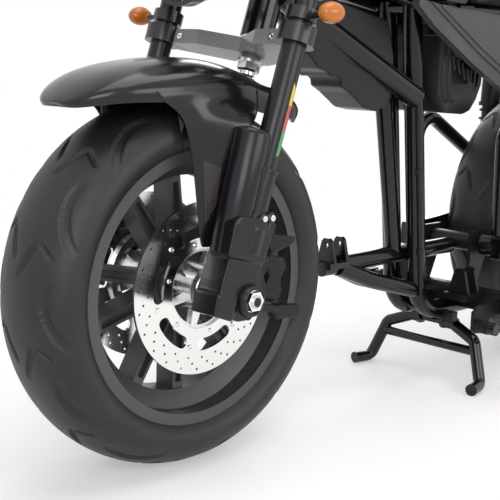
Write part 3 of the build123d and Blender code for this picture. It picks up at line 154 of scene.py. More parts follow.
def soft_box(name, place, target, width, height, watts):
    """A rectangular lamp aimed at a point."""
    data = bpy.data.lights.new(name, "AREA")
    data.shape = "RECTANGLE"
    data.size = width
    data.size_y = height
    data.energy = watts
    lamp = bpy.data.objects.new(name, data)
    lamp.location = place
    lamp.rotation_euler = (Vector(target) - Vector(place)).to_track_quat("-Z", "Y").to_euler()
    bpy.context.scene.collection.objects.link(lamp)
    return lamp


bpy.context.scene.world = white_world(WORLD_LIGHT)
for lamp_name, lamp_values in LAMPS.items():
    soft_box(lamp_name, *lamp_values)
print(len(LAMPS), "soft boxes")

# %% [markdown]
# ## The floor
# A studio floor should hold a soft shadow and nothing else. A plain white plane turns grey far
# away and shows a horizon. Here the paint takes the light and the shadow near the machine, and
# further out it gives way to even white.

# %% Floor
FLOOR_HALF = 40.0
FLOOR_PAINT = 0.80
FLOOR_LIFT = 0.34           # what the eye alone adds, so that the open floor is white
FLOOR_NEAR, FLOOR_FAR = 1.1, 2.6


def floor_material():
    material = bpy.data.materials.new("studio_floor")
    material.use_nodes = True
    tree = material.node_tree
    tree.nodes.clear()
    path = add(tree, "ShaderNodeLightPath")
    paint = set_inputs(add(tree, "ShaderNodeBsdfDiffuse"), Color=(FLOOR_PAINT,) * 3 + (1,))
    glow = add(tree, "ShaderNodeEmission")
    lift = add(tree, "ShaderNodeMath", operation="MULTIPLY")
    lift.inputs[1].default_value = FLOOR_LIFT
    seen = add(tree, "ShaderNodeMath", operation="MAXIMUM")
    tree.links.new(path.outputs["Is Camera Ray"], seen.inputs[0])
    tree.links.new(path.outputs["Is Glossy Ray"], seen.inputs[1])
    tree.links.new(seen.outputs[0], lift.inputs[0])
    tree.links.new(lift.outputs[0], glow.inputs["Strength"])
    both = add(tree, "ShaderNodeAddShader")
    tree.links.new(paint.outputs[0], both.inputs[0])
    tree.links.new(glow.outputs[0], both.inputs[1])
    # Far from the object the eye sees plain white, so that no horizon shows.
    far = add(tree, "ShaderNodeVectorMath", operation="LENGTH")
    tree.links.new(add(tree, "ShaderNodeTexCoord").outputs["Object"], far.inputs[0])
    white = set_inputs(add(tree, "ShaderNodeMapRange", interpolation_type="SMOOTHSTEP"),
                       From_Min=FLOOR_NEAR, From_Max=FLOOR_FAR)
    tree.links.new(far.outputs["Value"], white.inputs["Value"])
    open_floor = add(tree, "ShaderNodeMath", operation="MULTIPLY")
    tree.links.new(white.outputs["Result"], open_floor.inputs[0])
    tree.links.new(seen.outputs[0], open_floor.inputs[1])
    whole = add(tree, "ShaderNodeMixShader")
    tree.links.new(open_floor.outputs[0], whole.inputs[0])
    tree.links.new(both.outputs[0], whole.inputs[1])
    tree.links.new(add(tree, "ShaderNodeEmission").outputs[0], whole.inputs[2])
    output = add(tree, "ShaderNodeOutputMaterial")
    tree.links.new(whole.outputs[0], output.inputs["Surface"])
    return material


def floor_plane():
    mesh = bpy.data.meshes.new("studio_floor")
    corners = [(-FLOOR_HALF, -FLOOR_HALF), (FLOOR_HALF, -FLOOR_HALF),
               (FLOOR_HALF, FLOOR_HALF), (-FLOOR_HALF, FLOOR_HALF)]
    mesh.from_pydata([(x, y, 0.0) for x, y in corners], [], [(0, 1, 2, 3)])
    mesh.materials.append(floor_material())
    plane = bpy.data.objects.new("studio_floor", mesh)
    bpy.context.scene.collection.objects.link(plane)
    return plane


floor_plane()
print("floor", 2 * FLOOR_HALF, "m across")

# %% [markdown]
# ## Finishes
# Nearly everything on this machine is black, so the finishes differ in gloss and grain and not
# in colour: lacquered tubes, moulded plastic with a fine leather grain, satin rubber, cast and
# turned alloy. Each one starts from the same shader. Noise read from the piece's own
# coordinates varies its gloss a little, and a bump gives it its grain.

# %% Parts that every finish shares
def new_finish(name, colour, roughness, **sockets):
    """A material with its plain values set on the shader's own sockets."""
    material = bpy.data.materials.new(name)
    material.use_nodes = True
    shader = material.node_tree.nodes["Principled BSDF"]
    set_inputs(shader, Base_Color=(*colour, 1), Roughness=roughness, **sockets)
    return material, material.node_tree, shader


def own_place(tree, stretch=(1, 1, 1), turn=(0, 0, 0), centre=(0, 0, 0)):
    """The piece's own coordinates, stretched or turned for a pattern."""
    where = add(tree, "ShaderNodeTexCoord")
    mapping = set_inputs(add(tree, "ShaderNodeMapping"), Scale=stretch, Rotation=turn,
                         Location=centre)
    tree.links.new(where.outputs["Object"], mapping.inputs["Vector"])
    return mapping.outputs["Vector"]


def noise(tree, place, scale, detail=3.0):
    texture = set_inputs(add(tree, "ShaderNodeTexNoise"), Scale=scale, Detail=detail)
    tree.links.new(place, texture.inputs["Vector"])
    return texture.outputs["Fac"]


def vary(tree, factor, socket, low, high):
    """Lets a factor swing a socket between two values."""
    span = set_inputs(add(tree, "ShaderNodeMapRange"), To_Min=low, To_Max=high)
    tree.links.new(factor, span.inputs["Value"])
    tree.links.new(span.outputs["Result"], socket)


def tint(tree, factor, socket, dark, light, start=0.3, stop=0.7):
    """Lets a factor swing a colour between two paints."""
    ramp = add(tree, "ShaderNodeValToRGB")
    ramp.color_ramp.elements[0].position = start
    ramp.color_ramp.elements[1].position = stop
    ramp.color_ramp.elements[0].color = (*dark, 1)
    ramp.color_ramp.elements[1].color = (*light, 1)
    tree.links.new(factor, ramp.inputs["Fac"])
    tree.links.new(ramp.outputs["Color"], socket)


def relief(tree, shader, height, depth, strength=1.0):
    """A bump of the given depth in metres."""
    bump = set_inputs(add(tree, "ShaderNodeBump"), Distance=depth, Strength=strength)
    tree.links.new(height, bump.inputs["Height"])
    tree.links.new(bump.outputs["Normal"], shader.inputs["Normal"])


# %% Paint, plastic and rubber
def lacquer(name, colour, roughness=0.16, coat=0.6, cloud=4.0):
    """Sprayed gloss paint: even in colour, its sheen clouded by fine dust and orange peel."""
    material, tree, shader = new_finish(name, colour, roughness, Coat_Weight=coat,
                                        Coat_Roughness=0.08,
                                        Specular_IOR_Level=0.35)
    place = own_place(tree)
    vary(tree, noise(tree, place, cloud), shader.inputs["Roughness"], roughness * 0.8,
         roughness * 1.3)
    relief(tree, shader, noise(tree, place, 260.0, 1.0), 0.00006)
    return material


def moulding(name, colour, roughness=0.46, grain=900.0):
    """Injection-moulded plastic with a fine grain, a little paler where hands have rubbed it."""
    material, tree, shader = new_finish(name, colour, roughness, Specular_IOR_Level=0.28)
    place = own_place(tree)
    rubbed = tuple(channel * 1.5 + 0.002 for channel in colour)
    tint(tree, noise(tree, place, 7.0), shader.inputs["Base Color"], colour, rubbed)
    vary(tree, noise(tree, place, 12.0), shader.inputs["Roughness"], roughness * 0.85,
         roughness * 1.2)
    relief(tree, shader, noise(tree, place, grain, 1.0), 0.00012, 0.8)
    return material


def rubber(name, colour, roughness=0.52):
    """Vulcanised rubber: a soft sheen, greyer in patches where it has bloomed."""
    material, tree, shader = new_finish(name, colour, roughness)
    place = own_place(tree)
    bloom = tuple(channel * 1.7 + 0.003 for channel in colour)
    tint(tree, noise(tree, place, 9.0, 5.0), shader.inputs["Base Color"], colour, bloom)
    vary(tree, noise(tree, place, 30.0), shader.inputs["Roughness"], roughness * 0.88,
         roughness * 1.15)
    relief(tree, shader, noise(tree, place, 1400.0, 2.0), 0.00010, 0.7)
    return material


# %% Metal
def cast_alloy(name, colour, metallic, roughness):
    """A painted casting with a faint sparkle and a sandy skin."""
    material, tree, shader = new_finish(name, colour, roughness, Specular_IOR_Level=0.3,
                                        Metallic=metallic)
    place = own_place(tree)
    bright = tuple(channel * 1.25 for channel in colour)
    tint(tree, noise(tree, place, 420.0, 1.0), shader.inputs["Base Color"], colour, bright)
    vary(tree, noise(tree, place, 18.0), shader.inputs["Roughness"], roughness * 0.85,
         roughness * 1.2)
    relief(tree, shader, noise(tree, place, 700.0, 2.0), 0.00008, 0.6)
    return material


def plated(name, colour, roughness):
    """Chrome or polished steel, with faint wiping marks."""
    material, tree, shader = new_finish(name, colour, roughness, Metallic=1.0)
    place = own_place(tree, stretch=(1, 1, 0.2))
    vary(tree, noise(tree, place, 160.0, 2.0), shader.inputs["Roughness"], roughness * 0.7,
         roughness * 1.6)
    return material


def turned_steel(name, colour, roughness, centre):
    """A ground brake disc: fine rings about the axle catch the light as a fan."""
    material, tree, shader = new_finish(name, colour, roughness, Metallic=1.0)
    place = own_place(tree, centre=tuple(-value for value in centre))
    flat = add(tree, "ShaderNodeVectorMath", operation="MULTIPLY")
    flat.inputs[1].default_value = (1, 0, 1)
    tree.links.new(place, flat.inputs[0])
    far = add(tree, "ShaderNodeVectorMath", operation="LENGTH")
    tree.links.new(flat.outputs["Vector"], far.inputs[0])
    rings = set_inputs(add(tree, "ShaderNodeTexNoise", noise_dimensions="1D"), Scale=2600.0,
                       Detail=2.0)
    tree.links.new(far.outputs["Value"], rings.inputs["W"])
    vary(tree, rings.outputs["Fac"], shader.inputs["Roughness"], roughness * 0.7, roughness * 1.5)
    relief(tree, shader, rings.outputs["Fac"], 0.00004, 0.5)
    return material


# %% Lenses
def lens(name, colour, transmission=0.9):
    """A moulded lens with fine vertical flutes on its inside."""
    material, tree, shader = new_finish(name, colour, 0.06, Transmission_Weight=transmission,
                                        IOR=1.49)
    flutes = set_inputs(add(tree, "ShaderNodeTexWave", bands_direction="Y"), Scale=90.0)
    tree.links.new(own_place(tree), flutes.inputs["Vector"])
    relief(tree, shader, flutes.outputs["Fac"], 0.0004, 0.6)
    return material


def two_tone(name, stalk, bulb, from_side, roughness=0.3):
    """One colour near the middle, another further out than a given distance from it."""
    material, tree, shader = new_finish(name, stalk, roughness, Coat_Weight=0.2)
    apart = add(tree, "ShaderNodeSeparateXYZ")
    tree.links.new(own_place(tree), apart.inputs[0])
    far = add(tree, "ShaderNodeMath", operation="ABSOLUTE")
    tree.links.new(apart.outputs["Y"], far.inputs[0])
    out = add(tree, "ShaderNodeMath", operation="GREATER_THAN")
    tree.links.new(far.outputs[0], out.inputs[0])
    out.inputs[1].default_value = from_side
    mix = set_inputs(add(tree, "ShaderNodeMix", data_type="RGBA"), A=(*stalk, 1), B=(*bulb, 1))
    tree.links.new(out.outputs[0], mix.inputs["Factor"])
    tree.links.new(mix.outputs["Result"], shader.inputs["Base Color"])
    return material


# %% One finish for each kind of piece
def node_centre(name):
    low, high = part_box(name)
    return (low + high) / 2


front_hub = node_centre("front_rim")
rear_hub = node_centre("rear_rim")
BULB_LENGTH = 0.038
CLAMP_GREY = 0.128          # nearer the middle than this the lower clamp is bare metal
FRONT_BULB = 0.214          # further out than this a front indicator is amber
REAR_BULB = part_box("rear_indicators")[1].y - BULB_LENGTH
STALK_BLACK = (0.010, 0.010, 0.011)
AMBER = (0.60, 0.17, 0.015)
FINISHES = {
    "tyre": rubber("tyre_rubber", (0.0065, 0.0065, 0.0072), 0.48),
    "grip": rubber("grip_rubber", (0.012, 0.012, 0.012), 0.62),
    "gloss": lacquer("gloss_black_plastic", (0.0045, 0.0045, 0.0052), 0.20, 0.22),
    "frame": lacquer("frame_lacquer", (0.0040, 0.0040, 0.0045), 0.16, 0.18),
    "fork_tube": lacquer("fork_tube_lacquer", (0.0050, 0.0055, 0.0090), 0.27, 0.06),
    "slider": lacquer("slider_lacquer", (0.0055, 0.0055, 0.0060), 0.28, 0.12),
    "caliper": cast_alloy("caliper_casting", (0.012, 0.012, 0.013), 0.2, 0.42),
    "clamp": two_tone("clamp_casting", (0.250, 0.238, 0.232), (0.006, 0.006, 0.007), CLAMP_GREY,
                      0.34),
    "wheel": cast_alloy("wheel_casting", (0.090, 0.085, 0.088), 0.55, 0.44),
    "moulded": moulding("moulded_black", (0.010, 0.010, 0.011), 0.42),
    "case": moulding("case_black", (0.008, 0.008, 0.009), 0.36, 600.0),
    "panel": moulding("panel_grey", (0.055, 0.056, 0.060), 0.40),
    "vinyl": moulding("seat_vinyl", (0.014, 0.013, 0.013), 0.55, 420.0),
    "alloy": plated("bright_alloy", (0.78, 0.78, 0.79), 0.24),
    "chrome": plated("chrome", (0.86, 0.86, 0.88), 0.07),
    "lever": cast_alloy("lever_black", (0.014, 0.014, 0.015), 0.4, 0.36),
    "motor": cast_alloy("motor_casting", (0.020, 0.020, 0.021), 0.5, 0.46),
    "front_disc": turned_steel("front_disc_steel", (0.80, 0.80, 0.78), 0.13, front_hub),
    "rear_disc": turned_steel("rear_disc_steel", (0.80, 0.80, 0.78), 0.13, rear_hub),
    "clear": lens("clear_lens", (0.95, 0.96, 0.97), 0.75),
    "indicator": two_tone("indicator", STALK_BLACK, AMBER, FRONT_BULB),
    "rear_indicator": two_tone("rear_indicator", STALK_BLACK, AMBER, REAR_BULB),
    "red": lens("red_lens", (0.55, 0.010, 0.008), 0.5),
    "thread": moulding("seam_thread", (0.055, 0.053, 0.050), 0.6),
    "mirror": plated("mirror_silver", (0.90, 0.91, 0.92), 0.02),
    "nut": plated("nut_chrome", (0.60, 0.61, 0.63), 0.17),
    "stud": cast_alloy("stud_end", (0.030, 0.032, 0.038), 0.6, 0.4),
    "reflector": plated("lamp_reflector", (0.88, 0.89, 0.90), 0.10),
    "tint": lacquer("cheek_tint", (0.040, 0.031, 0.030), 0.34, 0.1),
    "copper": lacquer("honeycomb_print", (0.21, 0.12, 0.10), 0.4, 0.1),
}

NODE_FINISH = {
    "tyre": ["front_tyre", "rear_tyre"],
    "grip": ["hand_grips"],
    "gloss": ["front_fender", "tank_cover", "tail_cowl", "headlight_bucket"],
    "frame": ["main_frame", "centre_stand", "side_stand", "seat_frame", "swingarm", "handlebar"],
    "fork_tube": ["fork_stanchions"],
    "slider": ["fork_sliders"],
    "caliper": ["front_calipers", "rear_caliper"],
    "clamp": ["lower_clamp"],
    "lever": ["brake_levers", "rear_shocks", "upper_clamp", "footrest_carrier"],
    "wheel": ["front_rim", "rear_rim"],
    "moulded": ["stand_switch_cable", "instrument_panel", "mirrors", "footpegs", "plate_hanger"],
    "case": ["battery_case", "controller_case"],
    "panel": ["side_panels"],
    "vinyl": ["seat"],
    "alloy": ["front_disc_carriers"],
    "chrome": ["front_axle", "rear_axle", "head_bearings"],
    "motor": ["hub_motor"],
    "front_disc": ["front_discs"],
    "rear_disc": ["rear_disc"],
    "clear": ["headlight_lens"],
    "indicator": ["front_indicators"],
    "rear_indicator": ["rear_indicators"],
    "red": ["tail_lamp"],
}
for finish, names in NODE_FINISH.items():
    for name in names:
        mesh = nodes[name].data
        mesh.materials.clear()
        mesh.materials.append(FINISHES[finish])
dressed = {name for names in NODE_FINISH.values() for name in names}
print("finishes", len(FINISHES), "nodes left", sorted(set(nodes) - dressed))

# %% [markdown]
# ## Shapes grown by nodes
# A tread, a drilled disc, a row of screws or stitches is one small form repeated by a rule.
# Modelling each copy by hand hides the rule; an array modifier knows only straight rows.
# Geometry Nodes keep the rule itself: a tree with named sizes is built below for each kind of
# repeat, run once, and its result is kept as a plain mesh that can be exported.

# %% Helpers for trees that make shapes
SOCKET_KINDS = {float: "Float", int: "Int", bool: "Bool", Vector: "Vector",
                bpy.types.Object: "Object", bpy.types.Material: "Material"}


def put(tree, kind, settings=None, **inputs):
    """Adds a node. An input given a socket is linked, one given a value is set; _0 is the first."""
    node = tree.nodes.new(kind)
    for key, value in (settings or {}).items():
        setattr(node, key, value)
    for key, value in inputs.items():
        socket = node.inputs[int(key[1:])] if key[0] == "_" else node.inputs[key.replace("_", " ")]
        if isinstance(value, bpy.types.NodeSocket):
            tree.links.new(value, socket)
        else:
            socket.default_value = value
    return node


def made(tree, kind, settings=None, **inputs):
    """Adds a node and returns its first output."""
    return put(tree, kind, settings, **inputs).outputs[0]


def sum_of(tree, operation, *values):
    """One step of arithmetic on sockets or numbers."""
    return made(tree, "ShaderNodeMath", {"operation": operation},
                **{f"_{index}": value for index, value in enumerate(values)})


def joined(tree, *shapes):
    node = put(tree, "GeometryNodeJoinGeometry")
    for shape in reversed(shapes):
        tree.links.new(shape, node.inputs[0])
    return node.outputs[0]


def shape_tree(name, **sizes):
    """A tree with one named input for each size; returns it with its input sockets."""
    tree = bpy.data.node_groups.new(name, "GeometryNodeTree")
    tree.interface.new_socket("Geometry", in_out="OUTPUT", socket_type="NodeSocketGeometry")
    tree.interface.new_socket("Geometry", in_out="INPUT", socket_type="NodeSocketGeometry")
    for label, kind in sizes.items():
        tree.interface.new_socket(label.replace("_", " "), in_out="INPUT",
                                  socket_type="NodeSocket" + SOCKET_KINDS[kind])
    return tree, tree.nodes.new("NodeGroupInput").outputs


def end_tree(tree, shape, material):
    """Every tree ends the same way: real faces, then their material."""
    real = made(tree, "GeometryNodeRealizeInstances", Geometry=shape)
    dressed = put(tree, "GeometryNodeSetMaterial", Geometry=real, Material=material)
    put(tree, "NodeGroupOutput", Geometry=dressed.outputs[0])


def plain_copy(holder):
    """The evaluated result of an object as a mesh of its own."""
    return bpy.data.meshes.new_from_object(holder.evaluated_get(bpy.context.evaluated_depsgraph_get()))


def mesh_from(name, form):
    """Turns a form that was built point by point into a mesh."""
    mesh = bpy.data.meshes.new(name)
    form.to_mesh(mesh)
    form.free()
    return mesh


def dress(mesh, finish, sharp=None):
    """One finish and a smooth look, but for edges sharper than an angle in degrees."""
    mesh.materials.clear()
    mesh.materials.append(finish)
    mesh.shade_smooth()
    if sharp:
        mesh.set_sharp_from_angle(angle=math.radians(sharp))
    return mesh


def triangles(mesh):
    return sum(len(face.vertices) - 2 for face in mesh.polygons)


def add_piece(name, mesh, body, replaces=()):
    """Puts a finished mesh in the scene, riding on its body."""
    piece = bpy.data.objects.new(name, mesh)
    bpy.context.scene.collection.objects.link(piece)
    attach(piece, body)
    if replaces:
        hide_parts(*replaces)
    print(name, "on", body, triangles(mesh), "triangles")
    return piece


def grow(name, tree, body, slot, start=None, replaces=(), **sizes):
    """Runs a tree with the given sizes and keeps its result as one plain piece."""
    holder = bpy.data.objects.new(name + "_seed", start or bpy.data.meshes.new(name + "_seed"))
    bpy.context.scene.collection.objects.link(holder)
    modifier = holder.modifiers.new("grow", "NODES")
    modifier.node_group = tree
    for item in tree.interface.items_tree:
        key = item.name.replace(" ", "_")
        if item.in_out == "INPUT" and key in sizes:
            modifier[item.identifier] = sizes[key]
    mesh = plain_copy(holder)
    mesh.name = name
    bpy.data.objects.remove(holder)
    return add_piece(name, mesh, body, replaces)


def poly_curve(name, lines, closed=False):
    """A curve of straight runs through the given points."""
    data = bpy.data.curves.new(name, "CURVE")
    data.dimensions = "3D"
    for points in lines:
        spline = data.splines.new("POLY")
        spline.points.add(len(points) - 1)
        for spline_point, place in zip(spline.points, points):
            spline_point.co = (*place, 1)
        spline.use_cyclic_u = closed
    return data


def helper_object(name, data):
    """A pattern that trees read and that is taken away again at the end."""
    holder = bpy.data.objects.new(name, data)
    bpy.context.scene.collection.objects.link(holder)
    HELPERS.append(holder)
    return holder


HELPERS = []
print("shape helpers ready")

# %% [markdown]
# ## The tyres
# A road tyre of this width is round across its crown and carries slender sweeping grooves, deep
# at their elbows and fading to nothing at both ends. Carving them with booleans leaves ragged
# faces. Here a flat sheet, as long as the tyre is round, is pressed down wherever it lies over a
# groove, and only then rolled up: across it follows a section curve and around it follows a
# circle. The same tree makes both tyres, and its inputs are the sizes a tyre maker would give.

# %% The section of the tyre
CROWN_DEPTH = 0.055         # height of the rounded tread over the widest point
RIM_RADIUS = 0.2325
RIM_HALF = 0.0762
BEAD_DEPTH = 0.0065


def tyre_section(radius, half_width):
    """Across the tyre from bead to bead and back under the rim: X is the radius, Y the width."""
    widest = radius - CROWN_DEPTH
    turns = [math.radians(90 * step / 30) for step in range(31)]
    half = [(widest + CROWN_DEPTH * math.cos(turn), half_width * math.sin(turn)) for turn in turns]
    half += [(widest - 0.004, half_width), (widest - 0.0065, half_width + 0.0009),
             (widest - 0.009, half_width + 0.0006), (widest - 0.011, half_width - 0.0022),
             (widest - 0.017, half_width - 0.0045), (RIM_RADIUS + 0.003, half_width - 0.0095),
             (RIM_RADIUS, RIM_HALF), (RIM_RADIUS, RIM_HALF - 0.009),
             (RIM_RADIUS - BEAD_DEPTH, RIM_HALF - 0.009), (RIM_RADIUS - BEAD_DEPTH, 0.0)]
    whole = [(r, -y, 0.0) for r, y in reversed(half)] + [(r, y, 0.0) for r, y in half[1:]]
    length = sum(math.dist(a, b) for a, b in zip(whole, whole[1:]))
    return whole, length


tyre_low, tyre_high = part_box("front_tyre")
TYRE_RADIUS = (tyre_high.z - tyre_low.z) / 2
TYRE_HALF = (tyre_high.y - tyre_low.y) / 2
section_points, section_length = tyre_section(TYRE_RADIUS, TYRE_HALF)
section_line = helper_object("tyre_section", poly_curve("tyre_section", [section_points]))
print("tyre radius", round(TYRE_RADIUS, 4), "section", round(section_length, 4))

# %% The grooves and the rolling
TREAD_REACH = 0.119         # from the crown to the widest point, along the section
TREAD_SHARE = 0.86          # share of the rows that the tread takes
# Each groove: start, elbow and end on the flat sheet, then its width at the elbow.
GROOVES = [((0.050, -0.068), (-0.004, -0.044), (-0.068, -0.098), 0.0125),
           ((-0.057, -0.037), (-0.075, -0.026), (-0.118, -0.006), 0.0075),
           ((-0.057, -0.037), (-0.066, -0.046), (-0.082, -0.068), 0.0060)]


def groove_strip(tree, start, elbow, end, width):
    """A curved strip that is widest in its middle and runs out to a point at both ends."""
    line = made(tree, "GeometryNodeCurveQuadraticBezier", Resolution=14, Start=(*start, 0),
                Middle=(*elbow, 0), End=(*end, 0))
    along = put(tree, "GeometryNodeSplineParameter").outputs["Factor"]
    taper = sum_of(tree, "SINE", sum_of(tree, "MULTIPLY", along, math.pi))
    line = made(tree, "GeometryNodeSetCurveRadius", Curve=line, Radius=taper)
    line = made(tree, "GeometryNodeStoreNamedAttribute", {"data_type": "FLOAT", "domain": "POINT"},
                Geometry=line, Name="fade", Value=taper)
    across = [made(tree, "GeometryNodeCurvePrimitiveLine", Start=tuple(-v for v in tip), End=tip)
              for tip in ((width / 2, 0, 0), (0, width / 2, 0))]
    return [made(tree, "GeometryNodeCurveToMesh", Curve=line, Profile_Curve=side)
            for side in across]


def tread_tree():
    tree, given = shape_tree("tread", Section=bpy.types.Object, Section_Length=float, Radius=float,
                             Hub=Vector, Around=int, Across=int, Pitches=int, Depth=float,
                             Soft_Edge=float, Side_Shift=float, Rubber=bpy.types.Material)
    girth = sum_of(tree, "MULTIPLY", given["Radius"], 2 * math.pi)
    pitch = sum_of(tree, "DIVIDE", girth, given["Pitches"])
    # One pitch of grooves, its mirror image further round, and the row of pitches.
    left = joined(tree, *[strip for groove in GROOVES for strip in groove_strip(tree, *groove)])
    shift = made(tree, "ShaderNodeCombineXYZ", X=given["Side Shift"])
    right = made(tree, "GeometryNodeTransform", Geometry=left, Translation=shift, Scale=(1, -1, 1))
    first = sum_of(tree, "SUBTRACT", sum_of(tree, "MULTIPLY", girth, -0.5), pitch)
    row = made(tree, "GeometryNodeMeshLine", Count=sum_of(tree, "ADD", given["Pitches"], 3),
               Start_Location=made(tree, "ShaderNodeCombineXYZ", X=first),
               Offset=made(tree, "ShaderNodeCombineXYZ", X=pitch))
    grooves = put(tree, "GeometryNodeInstanceOnPoints", Points=row,
                  Instance=joined(tree, left, right))
    grooves = made(tree, "GeometryNodeRealizeInstances", Geometry=grooves.outputs[0])
    # The flat sheet: rows close together on the tread, wider apart down the walls.
    sheet = made(tree, "GeometryNodeMeshGrid", Size_X=girth, Size_Y=2.0, Vertices_X=given["Around"],
                 Vertices_Y=given["Across"])
    place = put(tree, "ShaderNodeSeparateXYZ", Vector=made(tree, "GeometryNodeInputPosition"))
    row_share = place.outputs["Y"]
    wall = sum_of(tree, "SUBTRACT", sum_of(tree, "MULTIPLY", given["Section Length"], 0.5),
                  TREAD_REACH / TREAD_SHARE)
    down_wall = put(tree, "ShaderNodeMapRange", Value=sum_of(tree, "ABSOLUTE", row_share),
                    From_Min=TREAD_SHARE, From_Max=1.0, To_Min=0.0, To_Max=wall).outputs["Result"]
    reach = sum_of(tree, "ADD", sum_of(tree, "MULTIPLY", row_share, TREAD_REACH / TREAD_SHARE),
                   sum_of(tree, "MULTIPLY", sum_of(tree, "SIGN", row_share), down_wall))
    flat = made(tree, "ShaderNodeCombineXYZ", X=place.outputs["X"], Y=reach)
    gap = put(tree, "GeometryNodeProximity", {"target_element": "FACES"}, _0=grooves, _2=flat)
    fade = made(tree, "GeometryNodeInputNamedAttribute", {"data_type": "FLOAT"}, Name="fade")
    here = made(tree, "GeometryNodeSampleNearestSurface", Mesh=grooves, Value=fade,
                Sample_Position=flat)
    deep = sum_of(tree, "MULTIPLY", given["Depth"], sum_of(tree, "POWER", here, 0.6))
    depth = put(tree, "ShaderNodeMapRange", {"interpolation_type": "SMOOTHSTEP"},
                Value=gap.outputs["Distance"], From_Min=0.0, From_Max=given["Soft Edge"],
                To_Min=deep, To_Max=0.0).outputs["Result"]
    # Across, the sheet follows the section; the grooves go inwards from it.
    section = put(tree, "GeometryNodeObjectInfo", Object=given["Section"]).outputs["Geometry"]
    length = sum_of(tree, "ADD", sum_of(tree, "MULTIPLY", given["Section Length"], 0.5), reach)
    at = put(tree, "GeometryNodeSampleCurve", {"mode": "LENGTH"}, Curves=section, Length=length)
    on_line = put(tree, "ShaderNodeSeparateXYZ", Vector=at.outputs["Position"]).outputs
    heading = put(tree, "ShaderNodeSeparateXYZ", Vector=at.outputs["Tangent"]).outputs
    radius = sum_of(tree, "SUBTRACT", on_line["X"], sum_of(tree, "MULTIPLY", depth, heading["Y"]))
    width = sum_of(tree, "ADD", on_line["Y"], sum_of(tree, "MULTIPLY", depth, heading["X"]))
    # Around, it is rolled about the axle.
    turn = sum_of(tree, "DIVIDE", place.outputs["X"], given["Radius"])
    rolled = made(tree, "ShaderNodeCombineXYZ", Y=width,
                  X=sum_of(tree, "MULTIPLY", radius, sum_of(tree, "SINE", turn)),
                  Z=sum_of(tree, "MULTIPLY", radius, sum_of(tree, "COSINE", turn)))
    centred = made(tree, "ShaderNodeVectorMath", {"operation": "ADD"}, _0=rolled, _1=given["Hub"])
    tyre = made(tree, "GeometryNodeSetPosition", Geometry=sheet, Position=centred)
    tyre = made(tree, "GeometryNodeMergeByDistance", Geometry=tyre, Distance=0.0001)
    tyre = made(tree, "GeometryNodeSetShadeSmooth", Geometry=tyre)
    end_tree(tree, tyre, given["Rubber"])
    return tree


TREAD = {"Section": section_line, "Section_Length": section_length, "Radius": TYRE_RADIUS,
         "Around": 900, "Across": 94, "Pitches": 12, "Depth": 0.0050, "Soft_Edge": 0.0018,
         "Side_Shift": 0.026, "Rubber": FINISHES["tyre"]}
tread = tread_tree()
for end, hub in (("front", front_hub), ("rear", rear_hub)):
    grow(end + "_tread", tread, end + "_wheel", "tyre", replaces=[end + "_tyre"], Hub=hub, **TREAD)

# %% [markdown]
# ## The brake discs
# A disc is a flat ring, cut by a laser: six kidney-shaped windows near its inner edge lighten
# it, and rows of small holes let water and dust out from under the pads. Drawing it as filled
# curves follows the way it is really cut: circles and windows are closed curves, the fill
# leaves out whatever lies inside, and one extrusion gives the thickness.

